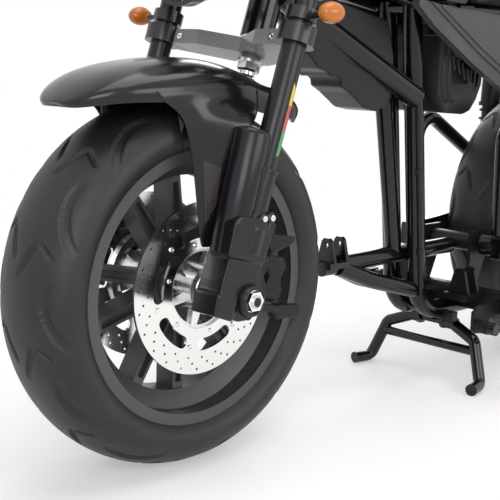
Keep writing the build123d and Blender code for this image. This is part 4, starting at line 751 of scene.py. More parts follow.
# %% Cutting a disc
def disc_tree():
    tree, given = shape_tree("brake_disc", Outer_Radius=float, Bore_Radius=float, Thickness=float,
                             Windows=int, Window_Radius=float, Window_Width=float,
                             Window_Length=float,
                             First_Window=float, Holes=int, Hole_Radius=float, Hole_Rows_From=float,
                             Row_Step=float, Side=float, Discs=int, Hub=Vector,
                             Steel=bpy.types.Material)

    def circle(radius, resolution):
        return made(tree, "GeometryNodeCurvePrimitiveCircle", Resolution=resolution, Radius=radius)

    def round_about(shape, count, radius, start):
        """Copies of a curve on a circle about the hub."""
        step = sum_of(tree, "DIVIDE", 2 * math.pi, count)
        turn = sum_of(tree, "ADD", sum_of(tree, "MULTIPLY", made(tree, "GeometryNodeInputIndex"),
                                          step),
                      start)
        points = put(tree, "GeometryNodePoints", Count=count,
                     Position=made(tree, "ShaderNodeCombineXYZ",
                                   X=sum_of(tree, "MULTIPLY", radius, sum_of(tree, "COSINE", turn)),
                                   Y=sum_of(tree, "MULTIPLY", radius, sum_of(tree, "SINE", turn))))
        facing = made(tree, "ShaderNodeCombineXYZ", Z=turn)
        copies = put(tree, "GeometryNodeInstanceOnPoints", Points=points.outputs[0], Instance=shape,
                     Rotation=made(tree, "FunctionNodeEulerToRotation", Euler=facing))
        return made(tree, "GeometryNodeRealizeInstances", Geometry=copies.outputs[0])

    # A window starts as a rounded bar and is bent round the hub.
    bar = made(tree, "GeometryNodeCurvePrimitiveQuadrilateral", Width=given["Window Length"],
               Height=given["Window Width"])
    bar = made(tree, "GeometryNodeFilletCurve", {"mode": "POLY"}, Curve=bar, Count=5,
               Radius=sum_of(tree, "MULTIPLY", given["Window Width"], 0.45))
    bar = made(tree, "GeometryNodeResampleCurve", Curve=bar, Count=44)
    flat = put(tree, "ShaderNodeSeparateXYZ", Vector=made(tree,
                                                          "GeometryNodeInputPosition")).outputs
    bend = sum_of(tree, "DIVIDE", flat["X"], given["Window Radius"])
    out = sum_of(tree, "ADD", given["Window Radius"], flat["Y"])
    bent = made(tree, "ShaderNodeCombineXYZ", X=sum_of(tree, "MULTIPLY", out,
                                                       sum_of(tree, "COSINE", bend)),
                Y=sum_of(tree, "MULTIPLY", out, sum_of(tree, "SINE", bend)))
    window = made(tree, "GeometryNodeSetPosition", Geometry=bar, Position=bent)
    curves = [circle(given["Outer Radius"], 160), circle(given["Bore Radius"], 96),
              round_about(window, given["Windows"], 0.0, given["First Window"])]
    for row in range(3):
        radius = sum_of(tree, "ADD", given["Hole Rows From"],
                        sum_of(tree, "MULTIPLY", given["Row Step"], row))
        curves.append(round_about(circle(given["Hole Radius"], 10), given["Holes"], radius,
                                  0.09 * row))
    plate = made(tree, "GeometryNodeFillCurve", Curve=joined(tree, *curves))
    thick = put(tree, "GeometryNodeExtrudeMesh", Mesh=plate, Offset_Scale=given["Thickness"])
    thick.inputs["Individual"].default_value = False
    back = made(tree, "GeometryNodeFlipFaces", Mesh=plate)
    disc = made(tree, "GeometryNodeMergeByDistance", Geometry=joined(tree, thick.outputs[0], back),
                Distance=0.00002)
    # It is stood up on the axle, once for each side of the wheel that has one.
    half = sum_of(tree, "MULTIPLY", given["Thickness"], -0.5)
    stood = made(tree, "GeometryNodeTransform", Geometry=disc, Rotation=(math.pi / 2, 0, 0),
                 Translation=made(tree, "ShaderNodeCombineXYZ",
                                  Y=sum_of(tree, "MULTIPLY", half, -1.0)))
    start = put(tree, "ShaderNodeVectorMath", {"operation": "ADD"}, _0=given["Hub"],
                _1=made(tree, "ShaderNodeCombineXYZ",
                        Y=sum_of(tree, "MULTIPLY", given["Side"], -1.0)))
    step = made(tree, "ShaderNodeCombineXYZ", Y=sum_of(tree, "MULTIPLY", given["Side"], 2.0))
    places = made(tree, "GeometryNodeMeshLine", Count=given["Discs"],
                  Start_Location=start.outputs[0],
                  Offset=step)
    discs = made(tree, "GeometryNodeInstanceOnPoints", Points=places, Instance=stood)
    end_tree(tree, discs, given["Steel"])
    return tree


DISC = {"Outer_Radius": 0.145, "Bore_Radius": 0.068, "Thickness": 0.005, "Windows": 6,
        "Window_Radius": 0.0955, "Window_Width": 0.021, "Window_Length": 0.074,
        "First_Window": math.radians(46), "Holes": 24, "Hole_Radius": 0.0021,
        "Hole_Rows_From": 0.1175, "Row_Step": 0.0095, "Side": 0.075}
disc_maker = disc_tree()
grow("front_disc_pair", disc_maker, "front_wheel", "disc_steel", replaces=["front_discs"],
     Discs=2, Hub=front_hub, Steel=FINISHES["front_disc"], **DISC)
grow("rear_disc_plate", disc_maker, "rear_wheel", "disc_steel", replaces=["rear_disc"],
     Discs=1, Hub=rear_hub, Steel=FINISHES["rear_disc"], **DISC)

# %% [markdown]
# ## Screws
# The discs, the spiders, the motor cover and the axle clamps are held by socket screws. All of
# them are one small head with a hexagon sunk in it, so it is modelled once, a unit across, and
# Geometry Nodes set a copy on each point of a list. A point says where the screw sits, which
# way it faces and how large it is. The place comes from a ray cast onto the piece it holds,
# so that no head floats or sinks.

# %% One socket screw
HEAD_SIDES = 12
HEAD_RINGS = [(1.0, -0.1), (1.0, 0.45), (0.90, 0.60)]      # radius, height
SOCKET_R, SOCKET_FLOOR = 0.50, 0.22


def hexagon_radius(turn):
    """The hexagon's edge seen from its centre, so that twelve points still draw six sides."""
    from_flat = (turn + math.pi / 6) % (math.pi / 3) - math.pi / 6
    return SOCKET_R * math.cos(math.pi / 6) / math.cos(from_flat)


def screw_head():
    form = bmesh.new()
    turns = [2 * math.pi * side / HEAD_SIDES for side in range(HEAD_SIDES)]
    rings = [[form.verts.new((r * math.cos(t), r * math.sin(t), z)) for t in turns] for r,
             z in HEAD_RINGS]
    rings += [[form.verts.new((hexagon_radius(t) * math.cos(t), hexagon_radius(t) * math.sin(t), z))
               for t in turns] for z in (HEAD_RINGS[-1][1], SOCKET_FLOOR)]
    for below, above in zip(rings, rings[1:]):
        for side in range(HEAD_SIDES):
            after = (side + 1) % HEAD_SIDES
            form.faces.new((below[side], below[after], above[after], above[side]))
    form.faces.new(rings[-1])
    form.faces.new(reversed(rings[0]))
    return mesh_from("screw_head", form)


head = helper_object("screw_head", screw_head())
print("screw head", len(head.data.polygons), "faces")


# %% Setting screws on a surface
def set_on_points_tree():
    """A copy of one form on each point, turned to the point's facing and scaled by its size."""
    tree, given = shape_tree("set_on_points", Form=bpy.types.Object, Finish=bpy.types.Material)
    facing = put(tree, "GeometryNodeInputNamedAttribute", {"data_type": "FLOAT_VECTOR"},
                 Name="facing")
    size = put(tree, "GeometryNodeInputNamedAttribute", {"data_type": "FLOAT"}, Name="size")
    turned = put(tree, "FunctionNodeAlignRotationToVector", {"axis": "Z"}, Vector=facing.outputs[0])
    form = put(tree, "GeometryNodeObjectInfo", Object=given["Form"]).outputs["Geometry"]
    points = made(tree, "GeometryNodeMeshToPoints", Mesh=given["Geometry"])
    copies = put(tree, "GeometryNodeInstanceOnPoints", Points=points, Instance=form,
                 Rotation=turned.outputs[0], Scale=size.outputs[0])
    end_tree(tree, copies.outputs[0], given["Finish"])
    return tree


def points_mesh(name, spots):
    """Spots are (place, facing, size); they become the points that a tree reads."""
    mesh = bpy.data.meshes.new(name)
    mesh.from_pydata([tuple(place) for place, _, _ in spots], [], [])
    mesh.attributes.new("facing", "FLOAT_VECTOR", "POINT")
    mesh.attributes.new("size", "FLOAT", "POINT")
    # Making an attribute moves the ones before it in memory, so each is looked up again.
    mesh.attributes["facing"].data.foreach_set("vector",
                                               [c for _, facing, _ in spots for c in facing])
    mesh.attributes["size"].data.foreach_set("value", [radius for _, _, radius in spots])
    return mesh


def surface_of(*names):
    """A ray caster over the triangles of some measured nodes."""
    form = bmesh.new()
    for name in names:
        form.from_mesh(nodes[name].data)
    tree = BVHTree.FromBMesh(form)
    form.free()
    return tree


def land(surface, start, heading):
    """Where a ray from start first meets a surface."""
    place, normal, _, _ = surface.ray_cast(Vector(start), Vector(heading))
    return place, normal


def bolt_circle(surface, hub, side, radius, count, phase, size):
    """Screws on a circle about an axle, each resting on what it meets there."""
    spots = []
    for index in range(count):
        turn = math.radians(phase) + 2 * math.pi * index / count
        start = Vector(hub) + Vector((radius * math.cos(turn), side * 0.4, radius * math.sin(turn)))
        place, _ = land(surface, start, (0, -side, 0))
        if place is not None:
            spots.append((place, (0, side, 0), size))
    return spots


set_on_points = set_on_points_tree()
front_faces = surface_of("front_discs", "front_disc_carriers")
rear_faces = surface_of("rear_disc", "hub_motor")
# Each circle: its radius, how many screws, where the first one is, and a screw's radius.
DISC_SCREWS = (0.100, 6, 14, 0.0046)
FRONT_SPIDER_SCREWS = (0.0765, 6, 44, 0.0040)
REAR_SPIDER_SCREWS = (0.0745, 6, 44, 0.0040)
MOTOR_SCREWS = (0.090, 10, 18, 0.0042)
front_screws = []
for side in SIDES:
    for circle in (DISC_SCREWS, FRONT_SPIDER_SCREWS):
        front_screws += bolt_circle(front_faces, front_hub, side, *circle)
rear_screws = []
for side, circle in ((-1, DISC_SCREWS), (-1, REAR_SPIDER_SCREWS), (1, MOTOR_SCREWS)):
    rear_screws += bolt_circle(rear_faces, rear_hub, side, *circle)
SCREWS = {"Form": head, "Finish": FINISHES["chrome"]}
grow("front_wheel_screws", set_on_points, "front_wheel", "chrome",
     points_mesh("front_spots", front_screws),
     **SCREWS)
grow("rear_wheel_screws", set_on_points, "rear_wheel", "chrome",
     points_mesh("rear_spots", rear_screws),
     **SCREWS)

# %% [markdown]
# ## A frame of reference on the fork
# Everything on the fork leans with the steering axis. Giving each place behind, beside and along
# that axis keeps the numbers short and lets them be read like those of an upright fork. The first
# use is for the screws that pinch the fork's foot and close its two clamps.

# %% Places along the fork
steering = next(joint for joint in frame["joints"] if joint["name"] == "steering")
STEM = Vector(steering["pos_m"])
STEERING_UP = Vector(steering["axis"])
STEERING_BACK = Vector((STEERING_UP.z, 0, -STEERING_UP.x))
LEG_AHEAD = 0.070
LEG_SIDE = 0.165
PINCH_EARS = [(-0.067, -0.283), (-0.050, -0.278)]       # behind and along the steering axis
EAR_FACE = 0.1935
PINCH_SCREW_R, CLAMP_SCREW_R = 0.0050, 0.0055


def on_fork(back, side, up):
    """A place given behind, beside and along the steering axis."""
    return STEM + STEERING_BACK * back + Vector((0, side, 0)) + STEERING_UP * up


fork_screws = []
for side in SIDES:
    for back, up in PINCH_EARS:
        fork_screws.append((on_fork(back, side * EAR_FACE, up), (0, side, 0), PINCH_SCREW_R))
clamp_faces = surface_of("lower_clamp", "upper_clamp")
for side in SIDES:
    for up in (0.012, 0.217):
        place, normal = land(clamp_faces, on_fork(-0.3, side * (LEG_SIDE - 0.052), up),
                             STEERING_BACK)
        if place is not None:
            fork_screws.append((place, tuple(-STEERING_BACK), CLAMP_SCREW_R))
grow("fork_screws", set_on_points, "fork", "chrome", points_mesh("fork_spots", fork_screws),
     **SCREWS)

# %% [markdown]
# ## The coloured fork stripes
# Each fork tube carries a three-coloured film on its outer rear edge: yellow, red and green, one
# above the other, cut to a point at its ends. The film is a thin strip bent to the tube's
# radius, a hair proud of the lacquer. One constant colour ramp along the tube gives the three
# bands, so that they meet in a clean line and no band needs a piece of its own.

# %% Stripe film
FILM_R = 0.0203             # the tube's radius and a hair
STRIPE_TOP, STRIPE_FOOT = -0.062, -0.184
STRIPE_HALF_ANGLE = 26.0
STRIPE_TURN = 29.0          # from straight out to the side towards the rear


def stripe_finish():
    material, tree, shader = new_finish("stripe_film", (0.5, 0.5, 0.5), 0.3, Coat_Weight=0.4)
    along = put(tree, "ShaderNodeVectorMath", {"operation": "DOT_PRODUCT"},
                _0=put(tree, "ShaderNodeTexCoord").outputs["Object"], _1=tuple(STEERING_UP))
    offset = STEM.dot(STEERING_UP)
    share = put(tree, "ShaderNodeMapRange", Value=along.outputs["Value"],
                From_Min=offset + STRIPE_FOOT,
                From_Max=offset + STRIPE_TOP, To_Min=0.0, To_Max=1.0)
    bands = put(tree, "ShaderNodeValToRGB", Fac=share.outputs["Result"])
    ramp = bands.color_ramp
    ramp.interpolation = "CONSTANT"
    ramp.elements[0].color = (0.055, 0.36, 0.12, 1)
    ramp.elements[1].position = 0.36
    ramp.elements[1].color = (0.66, 0.075, 0.06, 1)
    yellow = ramp.elements.new(0.70)
    yellow.color = (0.85, 0.66, 0.045, 1)
    tree.links.new(bands.outputs["Color"], shader.inputs["Base Color"])
    vary(tree, noise(tree, own_place(tree), 300.0), shader.inputs["Roughness"], 0.25, 0.4)
    return material


def stripe(side):
    """A bent strip whose ends run out to a point."""
    rows, columns = 26, 6
    corners, faces = [], []
    for row in range(rows + 1):
        share = row / rows
        narrow = min(1.0, share / 0.10 + 0.02, (1 - share) / 0.14 + 0.02)
        for column in range(columns + 1):
            across = (2 * column / columns - 1) * narrow - (1 - narrow)
            turn = math.radians(STRIPE_TURN + STRIPE_HALF_ANGLE * across)
            up = STRIPE_FOOT + (STRIPE_TOP - STRIPE_FOOT) * share
            corners.append(on_fork(-LEG_AHEAD + FILM_R * math.sin(turn),
                                   side * (LEG_SIDE + FILM_R * math.cos(turn)), up))
    for row in range(rows):
        for column in range(columns):
            a = row * (columns + 1) + column
            face = (a, a + 1, a + columns + 2, a + columns + 1)
            faces.append(face if side < 0 else face[::-1])
    return corners, faces


film_corners, film_faces = stripe(-1)
right_corners, right_faces = stripe(1)
film_faces += [tuple(index + len(film_corners) for index in face) for face in right_faces]
film = bpy.data.meshes.new("fork_stripes")
film.from_pydata([tuple(c) for c in film_corners + right_corners], [], film_faces)
add_piece("fork_stripes", dress(film, stripe_finish()), "fork")

# %% [markdown]
# ## The seat
# The seat is foam under a thin vinyl cover. A plain block looks like a plank, and sculpting the
# swell by hand is slow. The cover is simulated instead: a slightly smaller copy of the seat's
# volume is remeshed evenly, air pressure blows it up as a cloth, and the swell is capped so
# that it keeps the seat's size. The seams come afterwards, laid on the blown-up surface.

# %% Blowing up the cover
SEAT_VOXEL = 0.005
SEAT_SHRINK = 0.004
SEAT_SWELL = 0.009
SEAT_FRAMES = 20
SEAT_ROUNDS = 6
SEAT_NEAR, CASE_NEAR = 0.00005, 0.00002     # how near two corners must lie to be merged


def measured_form(name, near):
    """A copy of a measured node with its loose triangles merged, free to be cut."""
    form = bmesh.new()
    form.from_mesh(nodes[name].data)
    bmesh.ops.remove_doubles(form, verts=form.verts, dist=near)
    return form


def modified(name, mesh, *steps):
    """The mesh after some modifiers, each given by its kind and its settings."""
    holder = bpy.data.objects.new(name, mesh)
    bpy.context.scene.collection.objects.link(holder)
    for kind, settings in steps:
        modifier = holder.modifiers.new(kind, kind)
        for key, value in settings.items():
            setattr(modifier, key, value)
    result = plain_copy(holder)
    bpy.data.objects.remove(holder)
    return result


def remeshed(voxel):
    return "REMESH", {"mode": "VOXEL", "voxel_size": voxel}


def subdivided(levels):
    return "SUBSURF", {"levels": levels, "render_levels": levels}


def seat_core():
    """The seat's measured volume, merged, remeshed evenly and drawn in a little."""
    form = measured_form("seat", SEAT_NEAR)
    bmesh.ops.recalc_face_normals(form, faces=form.faces)
    even = modified("seat_core", mesh_from("seat_core", form), remeshed(SEAT_VOXEL),
                    ("SMOOTH", {"iterations": SEAT_ROUNDS}))
    shrunk = bmesh.new()
    shrunk.from_mesh(even)
    shrunk.normal_update()
    for vertex in shrunk.verts:
        vertex.co -= vertex.normal * SEAT_SHRINK
    shrunk.to_mesh(even)
    shrunk.free()
    return even


def blown_up(mesh):
    """Cloth with air inside, gravity off, and each point's way capped."""
    cover = bpy.data.objects.new("seat_cover_sim", mesh)
    bpy.context.scene.collection.objects.link(cover)
    cloth = cover.modifiers.new("cloth", "CLOTH")
    cloth.settings.use_pressure = True
    cloth.settings.uniform_pressure_force = 4.0
    cloth.settings.effector_weights.gravity = 0.0
    cloth.point_cache.frame_start, cloth.point_cache.frame_end = 1, SEAT_FRAMES
    start = [vertex.co.copy() for vertex in mesh.vertices]
    for step in range(1, SEAT_FRAMES + 1):
        bpy.context.scene.frame_set(step)
    swollen = plain_copy(cover)
    bpy.data.objects.remove(cover)
    for vertex, before in zip(swollen.vertices, start):
        way = vertex.co - before
        if way.length > SEAT_SWELL:
            vertex.co = before + way.normalized() * SEAT_SWELL
    bpy.context.scene.frame_set(1)
    return swollen


seat_mesh = seat_core()
seat_mesh = blown_up(seat_mesh)
seat_mesh = modified("seat_smooth", seat_mesh, subdivided(1))
seat_mesh.name = "seat_pad"
seat_pad = add_piece("seat_pad", dress(seat_mesh, FINISHES["vinyl"]), "frame",
                     replaces=["seat"])

# %% [markdown]
# ## Piping and stitches
# Piping hides the seam where two panels of vinyl meet, and a row of stitches runs beside it. They
# could be drawn on as a texture, but would not catch the light. Here guide lines hang above the
# pad, and a tree drops them onto it and sweeps a cord or sets stitches along them.

# %% Seams and stitches
SEAM_IN = 0.026             # from the seat's edge
CHANNELS = 4


def dropped(tree, given):
    """The guide curve, evenly divided and let down onto the pad."""
    line = made(tree, "GeometryNodeResampleCurve", {"mode": "LENGTH"}, Curve=given["Geometry"],
                Length=given["Spacing"])
    pad = put(tree, "GeometryNodeObjectInfo", Object=given["Pad"]).outputs["Geometry"]
    ray = put(tree, "GeometryNodeRaycast", Target_Geometry=pad)
    ray.inputs["Ray Direction"].default_value = (0, 0, -1)
    ray.inputs["Ray Length"].default_value = 1.0
    raised = put(tree, "ShaderNodeVectorMath", {"operation": "ADD"}, _0=ray.outputs["Hit Position"],
                 _1=made(tree, "ShaderNodeCombineXYZ", Z=given["Lift"]))
    line = put(tree, "GeometryNodeSetPosition", Geometry=line, Selection=ray.outputs["Is Hit"],
               Position=raised.outputs[0])
    return line.outputs[0]


def piping_tree():
    tree, given = shape_tree("piping", Pad=bpy.types.Object, Spacing=float, Lift=float,
                             Thickness=float,
                             Cord=bpy.types.Material)
    ring = made(tree, "GeometryNodeCurvePrimitiveCircle", Resolution=8, Radius=given["Thickness"])
    cord = made(tree, "GeometryNodeCurveToMesh", Curve=dropped(tree, given), Profile_Curve=ring,
                Fill_Caps=True)
    cord = made(tree, "GeometryNodeSetShadeSmooth", Geometry=cord)
    end_tree(tree, cord, given["Cord"])
    return tree


def stitch_tree():
    tree, given = shape_tree("stitches", Pad=bpy.types.Object, Spacing=float, Lift=float,
                             Stitch_Length=float, Thread_Radius=float, Thread=bpy.types.Material)
    line = dropped(tree, given)
    way = made(tree, "GeometryNodeInputTangent")
    turned = made(tree, "FunctionNodeAlignRotationToVector", {"axis": "X"}, Vector=way)
    bead = made(tree, "GeometryNodeMeshUVSphere", Segments=6, Rings=4, Radius=1.0)
    size = made(tree, "ShaderNodeCombineXYZ", Y=given["Thread Radius"], Z=given["Thread Radius"],
                X=sum_of(tree, "MULTIPLY", given["Stitch Length"], 0.5))
    sewn = put(tree, "GeometryNodeInstanceOnPoints", Points=line, Instance=bead, Rotation=turned,
               Scale=size)
    end_tree(tree, sewn.outputs[0], given["Thread"])
    return tree


seat_low, seat_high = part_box("seat")
above = seat_high.z + 0.05
seam_y = (seat_high.y - seat_low.y) / 2 - SEAM_IN
seam_start, seam_end = seat_low.x + SEAM_IN, seat_high.x - SEAM_IN
outline = [(seam_start, -seam_y, above), (seam_end, -seam_y, above), (seam_end, seam_y, above),
           (seam_start, seam_y, above), (seam_start, -seam_y, above)]
channels = []
for index in range(CHANNELS):
    x = seam_start + (seam_end - seam_start) * (index + 1) / (CHANNELS + 1)
    channels.append([(x, -seam_y, above), (x, seam_y, above)])
grow("seat_piping", piping_tree(), "frame", "seat_cover", poly_curve("seat_outline", [outline]),
     Pad=seat_pad, Spacing=0.006, Lift=0.0004, Thickness=0.0024, Cord=FINISHES["vinyl"])
sewing = [[(x, y * 0.955, z) for x, y, z in outline]]
for channel in channels:
    sewing.append([(x + 0.004, y * 0.95, z) for x, y, z in channel])
grow("seat_stitches", stitch_tree(), "frame", "seat_cover", poly_curve("seat_seams", sewing),
     Pad=seat_pad, Spacing=0.0075, Lift=0.0003, Stitch_Length=0.0052, Thread_Radius=0.0006,
     Thread=FINISHES["thread"])

# %% [markdown]
# ## Grips, mirrors and lamp
# The rubber grips have raised rings that stop a glove from slipping. A row of rings along a
# straight line is a rule again, so a tree sets them between the two ends of the grip. The
# mirrors get their glass and the lamp its bright dish, each a turned form set in the measured
# housing.

# %% Grip rings
def ring_row_tree():
    tree, given = shape_tree("ring_row", Rings=int, Ring_Radius=float, Thickness=float,
                             Finish=bpy.types.Material)
    line = made(tree, "GeometryNodeResampleCurve", Curve=given["Geometry"], Count=given["Rings"])
    turned = made(tree, "FunctionNodeAlignRotationToVector", {"axis": "Z"},
                  Vector=made(tree, "GeometryNodeInputTangent"))
    path = made(tree, "GeometryNodeCurvePrimitiveCircle", Resolution=28,
                Radius=given["Ring Radius"])
    profile = made(tree, "GeometryNodeCurvePrimitiveCircle", Resolution=6,
                   Radius=given["Thickness"])
    ring = made(tree, "GeometryNodeCurveToMesh", Curve=path, Profile_Curve=profile)
    rings = made(tree, "GeometryNodeInstanceOnPoints", Points=line, Instance=ring, Rotation=turned)
    rings = made(tree, "GeometryNodeSetShadeSmooth", Geometry=rings)
    end_tree(tree, rings, given["Finish"])
    return tree


BAR_BEND = (-0.002, 0.192, 0.329)       # behind, beside and along the steering axis
BAR_END = (0.052, 0.365, 0.335)
GRIP_R = 0.017
ring_row = ring_row_tree()
grip_lines = []
for side in SIDES:
    bend = on_fork(BAR_BEND[0], side * BAR_BEND[1], BAR_BEND[2])
    tip = on_fork(BAR_END[0], side * BAR_END[1], BAR_END[2])
    along = (tip - bend).normalized()
    grip_lines.append([tuple(tip - along * 0.108), tuple(tip - along * 0.006)])
grow("grip_rings", ring_row, "fork", "grip_rubber", poly_curve("grips", grip_lines),
     Rings=17, Ring_Radius=GRIP_R, Thickness=0.0011, Finish=FINISHES["grip"])

# %% [markdown]
# ## Mirror glass
# Each glass is a slightly domed oval held in its shell. It could be cut from the shell's own
# faces, but those are loose triangles. A turned profile, squeezed to an oval, is simpler, and
# a ray finds how deep the shell lies so that the glass rests on it.

# %% Mirror glass
def turned_form(name, profile, centre, axis, sides=64, scale=(1, 1, 1)):
    """Turns a profile of (radius, height) about an axis; a radius of 0 closes it with a pole."""
    form = bmesh.new()
    rings = []
    for r, z in profile:
        if r < 1e-6:
            rings.append([form.verts.new((0, 0, z))])
        else:
            rings.append([form.verts.new((r * math.cos(2 * math.pi * s / sides) * scale[0],
                                          r * math.sin(2 * math.pi * s / sides) * scale[1],
                                          z * scale[2]))
                          for s in range(sides)])
    for low, high in zip(rings, rings[1:]):
        for s in range(sides):
            after = (s + 1) % sides
            quad = [low[s % len(low)], low[after % len(low)], high[after % len(high)],
                    high[s % len(high)]]
            form.faces.new(list(dict.fromkeys(quad)))
    bmesh.ops.recalc_face_normals(form, faces=form.faces)
    turn = Vector(axis).to_track_quat("Z", "Y").to_matrix().to_4x4()
    form.transform(Matrix.Translation(Vector(centre)) @ turn)
    mesh = mesh_from(name, form)
    mesh.shade_smooth()
    return mesh


def merged(name, meshes, finish, sharp=None):
    """Several meshes as one, in one finish."""
    form = bmesh.new()
    for mesh in meshes:
        form.from_mesh(mesh)
    result = mesh_from(name, form)
    return dress(result, finish, sharp)


def both(make):
    """What a function makes for the left side and for the right."""
    return [make(side) for side in SIDES]


MIRROR_RISE, MIRROR_REACH = 0.038, 0.062        # from a mirror's middle to its top and its end
GLASS_SINK = 0.0022
GLASS_PROFILE = [(0, 0.0012), (0.9, 0.0012), (0.96, 0.0004), (1.0, -0.004)]
mirror_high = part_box("mirrors")[1]
head_z = mirror_high.z - MIRROR_RISE
mirror_glasses = []
for side in SIDES:
    head_y = side * (mirror_high.y - MIRROR_REACH)
    found = land(surface_of("mirrors"), (mirror_high.x + 0.3, head_y, head_z), (-1, 0, 0))
    mirror_glasses.append(turned_form("glass", GLASS_PROFILE,
                                      (found[0].x - GLASS_SINK, head_y, head_z),
                                      (1, 0, 0), scale=(0.027, 0.047, 1)))
add_piece("mirror_glass", merged("mirror_glass", mirror_glasses, FINISHES["mirror"]), "fork")

# %% [markdown]
# ## Lamp dish and lens
# A headlamp is a bright bowl behind a clear dome. The bowl follows a parabola, which throws the
# light of a bulb straight ahead. Both are profiles turned about the lamp's own axis; the dome has
# an inner skin too, since light bends only in glass that has a thickness.

# %% Lamp dish and lens
lens_low, lens_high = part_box("headlight_lens")
lens_centre = (lens_low + lens_high) / 2
LENS_R = (lens_high.z - lens_low.z) / 2
lens_back = (lens_high.x, lens_centre.y, lens_centre.z)
DISH_DEPTH, DISH_SEAT = 0.019, 0.0005
dish_profile = [(LENS_R * share, DISH_SEAT + DISH_DEPTH * share ** 2)
                for share in (0.96, 0.9, 0.8, 0.7, 0.6, 0.5, 0.4, 0.3, 0.2)]
dish_profile += [(0.2 * LENS_R, 0.010), (0.12 * LENS_R, 0.013), (0.0, 0.0135)]
dish = turned_form("lamp_dish", dish_profile, lens_back, (-1, 0, 0), 72)
add_piece("lamp_dish", dress(dish, FINISHES["reflector"]), "fork")
GLASS_THICK = 0.0025
DOME_TOP, DOME_FALL, DOME_POWER = 0.024, 0.012, 2.6
dome = [(LENS_R * share, DOME_TOP - DOME_FALL * share ** DOME_POWER) for share in (0, 0.2, 0.4, 0.6,
                                                                                   0.75, 0.88, 0.97,
                                                                                   1.0)]
dome += [(LENS_R, 0.004), (LENS_R - GLASS_THICK, 0.004)]
dome += [(max(0.0, r - GLASS_THICK), z - GLASS_THICK) for r, z in reversed(dome[:7])]
glass = turned_form("lamp_glass", dome, lens_back, (-1, 0, 0), 72)
add_piece("lamp_glass", dress(glass, FINISHES["clear"]), "fork",
          replaces=["headlight_lens"])

# %% [markdown]
# ## The cheeks of the front fender
# Below the crown of the fender a cheek runs down beside each fork leg, and its front edge
# sweeps into the fender's lip in one soft curve. The measured fender has flat cheeks with a
# sharp corner there. A small cage of points between the front edge and the rear edge,
# subdivided and given a wall, makes the moulded skin that covers them.

# %% Cheek skins
AXLE_X = front_hub.x
# Front and rear edge of a cheek from top to bottom: behind the axle, above the floor.
CHEEK_FRONT = [(-0.132, 0.646), (-0.130, 0.634), (-0.122, 0.625), (-0.107, 0.616), (-0.090, 0.606),
               (-0.077, 0.594), (-0.068, 0.574), (-0.061, 0.545), (-0.056, 0.510), (-0.0515, 0.466),
               (-0.048, 0.430), (-0.044, 0.392)]
CHEEK_REAR = [(0.090, 0.654), (0.088, 0.642), (0.082, 0.630), (0.072, 0.618), (0.058, 0.606),
              (0.040, 0.592), (0.021, 0.574), (0.012, 0.545), (0.005, 0.510), (-0.001, 0.466),
              (-0.010, 0.430), (-0.019, 0.392)]
CHEEK_COLUMNS = 8
CHEEK_WALL = 0.0030
BLEND_TOP, BLEND_FOOT = 0.634, 0.585        # where the crown's side turns into the cheek
crown_faces = surface_of("front_fender")


def cheek_out(behind):
    """How far a cheek stands out from the middle: flat ahead, flaring towards the fork leg."""
    return max(0.1092, 0.1392 + 0.475 * min(behind, 0.022))


def crown_out(behind, height):
    """How far out the crown of the fender is."""
    place, _ = land(crown_faces, (AXLE_X + behind, -0.30, height), (0, 1, 0))
    return min(-place.y, 0.112) if place is not None else 0.108


def grid_faces(form, grid, side):
    """Faces between the rows of a grid of points, turned outwards on either side."""
    for upper, lower in zip(grid, grid[1:]):
        for left in range(len(upper) - 1):
            quad = (upper[left], upper[left + 1], lower[left + 1], lower[left])
            form.faces.new(quad if side > 0 else quad[::-1])


def cheek_skin(side):
    """A cage of points between the front and the rear edge, blended into the crown at its top."""
    form = bmesh.new()
    grid = []
    for row, ((fx, fz), (rx, rz)) in enumerate(zip(CHEEK_FRONT, CHEEK_REAR)):
        line = []
        for column in range(CHEEK_COLUMNS):
            share = column / (CHEEK_COLUMNS - 1)
            x, z = fx + (rx - fx) * share, fz + (rz - fz) * share
            blend = min(1.0, max(0.0, (BLEND_TOP - z) / (BLEND_TOP - BLEND_FOOT)))
            blend = blend * blend * (3 - 2 * blend)
            lift = -0.001 if row == 0 else 0.0012
            y = (crown_out(x, max(z, 0.630)) + lift) * (1 - blend) + cheek_out(x) * blend
            line.append(form.verts.new((AXLE_X + x, side * y, z)))
        grid.append(line)
    grid_faces(form, grid, side)
    # The wall grows inwards from the smoothed sheet.
    return modified("cheek_sheet", mesh_from("cheek", form), subdivided(2),
                    ("SOLIDIFY", {"thickness": CHEEK_WALL, "offset": -1.0}))


cheeks = both(cheek_skin)
add_piece("fender_cheeks", merged("fender_cheeks", cheeks, FINISHES["gloss"]), "fork")

# %% [markdown]
# ## The print on the cheeks
# Each cheek carries a tinted panel with a few printed hexagons. An image could hold them, but
# would blur when seen close. A thin film is laid on the cheek instead, and the hexagons are one
# outline set on a list of points by the same tree that sets the screws.

# %% The tinted panels on the cheeks
TINT_CORNERS = [(-0.043, 0.530), (-0.016, 0.517), (-0.023, 0.459), (-0.039, 0.427)]
TINT_STEPS = 6
TINT_LIFT = 0.0005


def tint_panel(side):
    """A thin film that lies on the cheek, between its four corners."""
    (ax, az), (bx, bz), (cx, cz), (dx, dz) = TINT_CORNERS
    form = bmesh.new()
    grid = []
    for down in range(TINT_STEPS + 1):
        v = down / TINT_STEPS
        row = []
        for across in range(TINT_STEPS + 1):
            u = across / TINT_STEPS
            x = (1 - v) * ((1 - u) * ax + u * bx) + v * ((1 - u) * dx + u * cx)
            z = (1 - v) * ((1 - u) * az + u * bz) + v * ((1 - u) * dz + u * cz)
            row.append(form.verts.new((AXLE_X + x, side * (cheek_out(x) + TINT_LIFT), z)))
        grid.append(row)
    grid_faces(form, grid, side)
    return mesh_from("tint", form)


tints = both(tint_panel)
add_piece("cheek_panels", merged("cheek_panels", tints, FINISHES["tint"]), "fork")

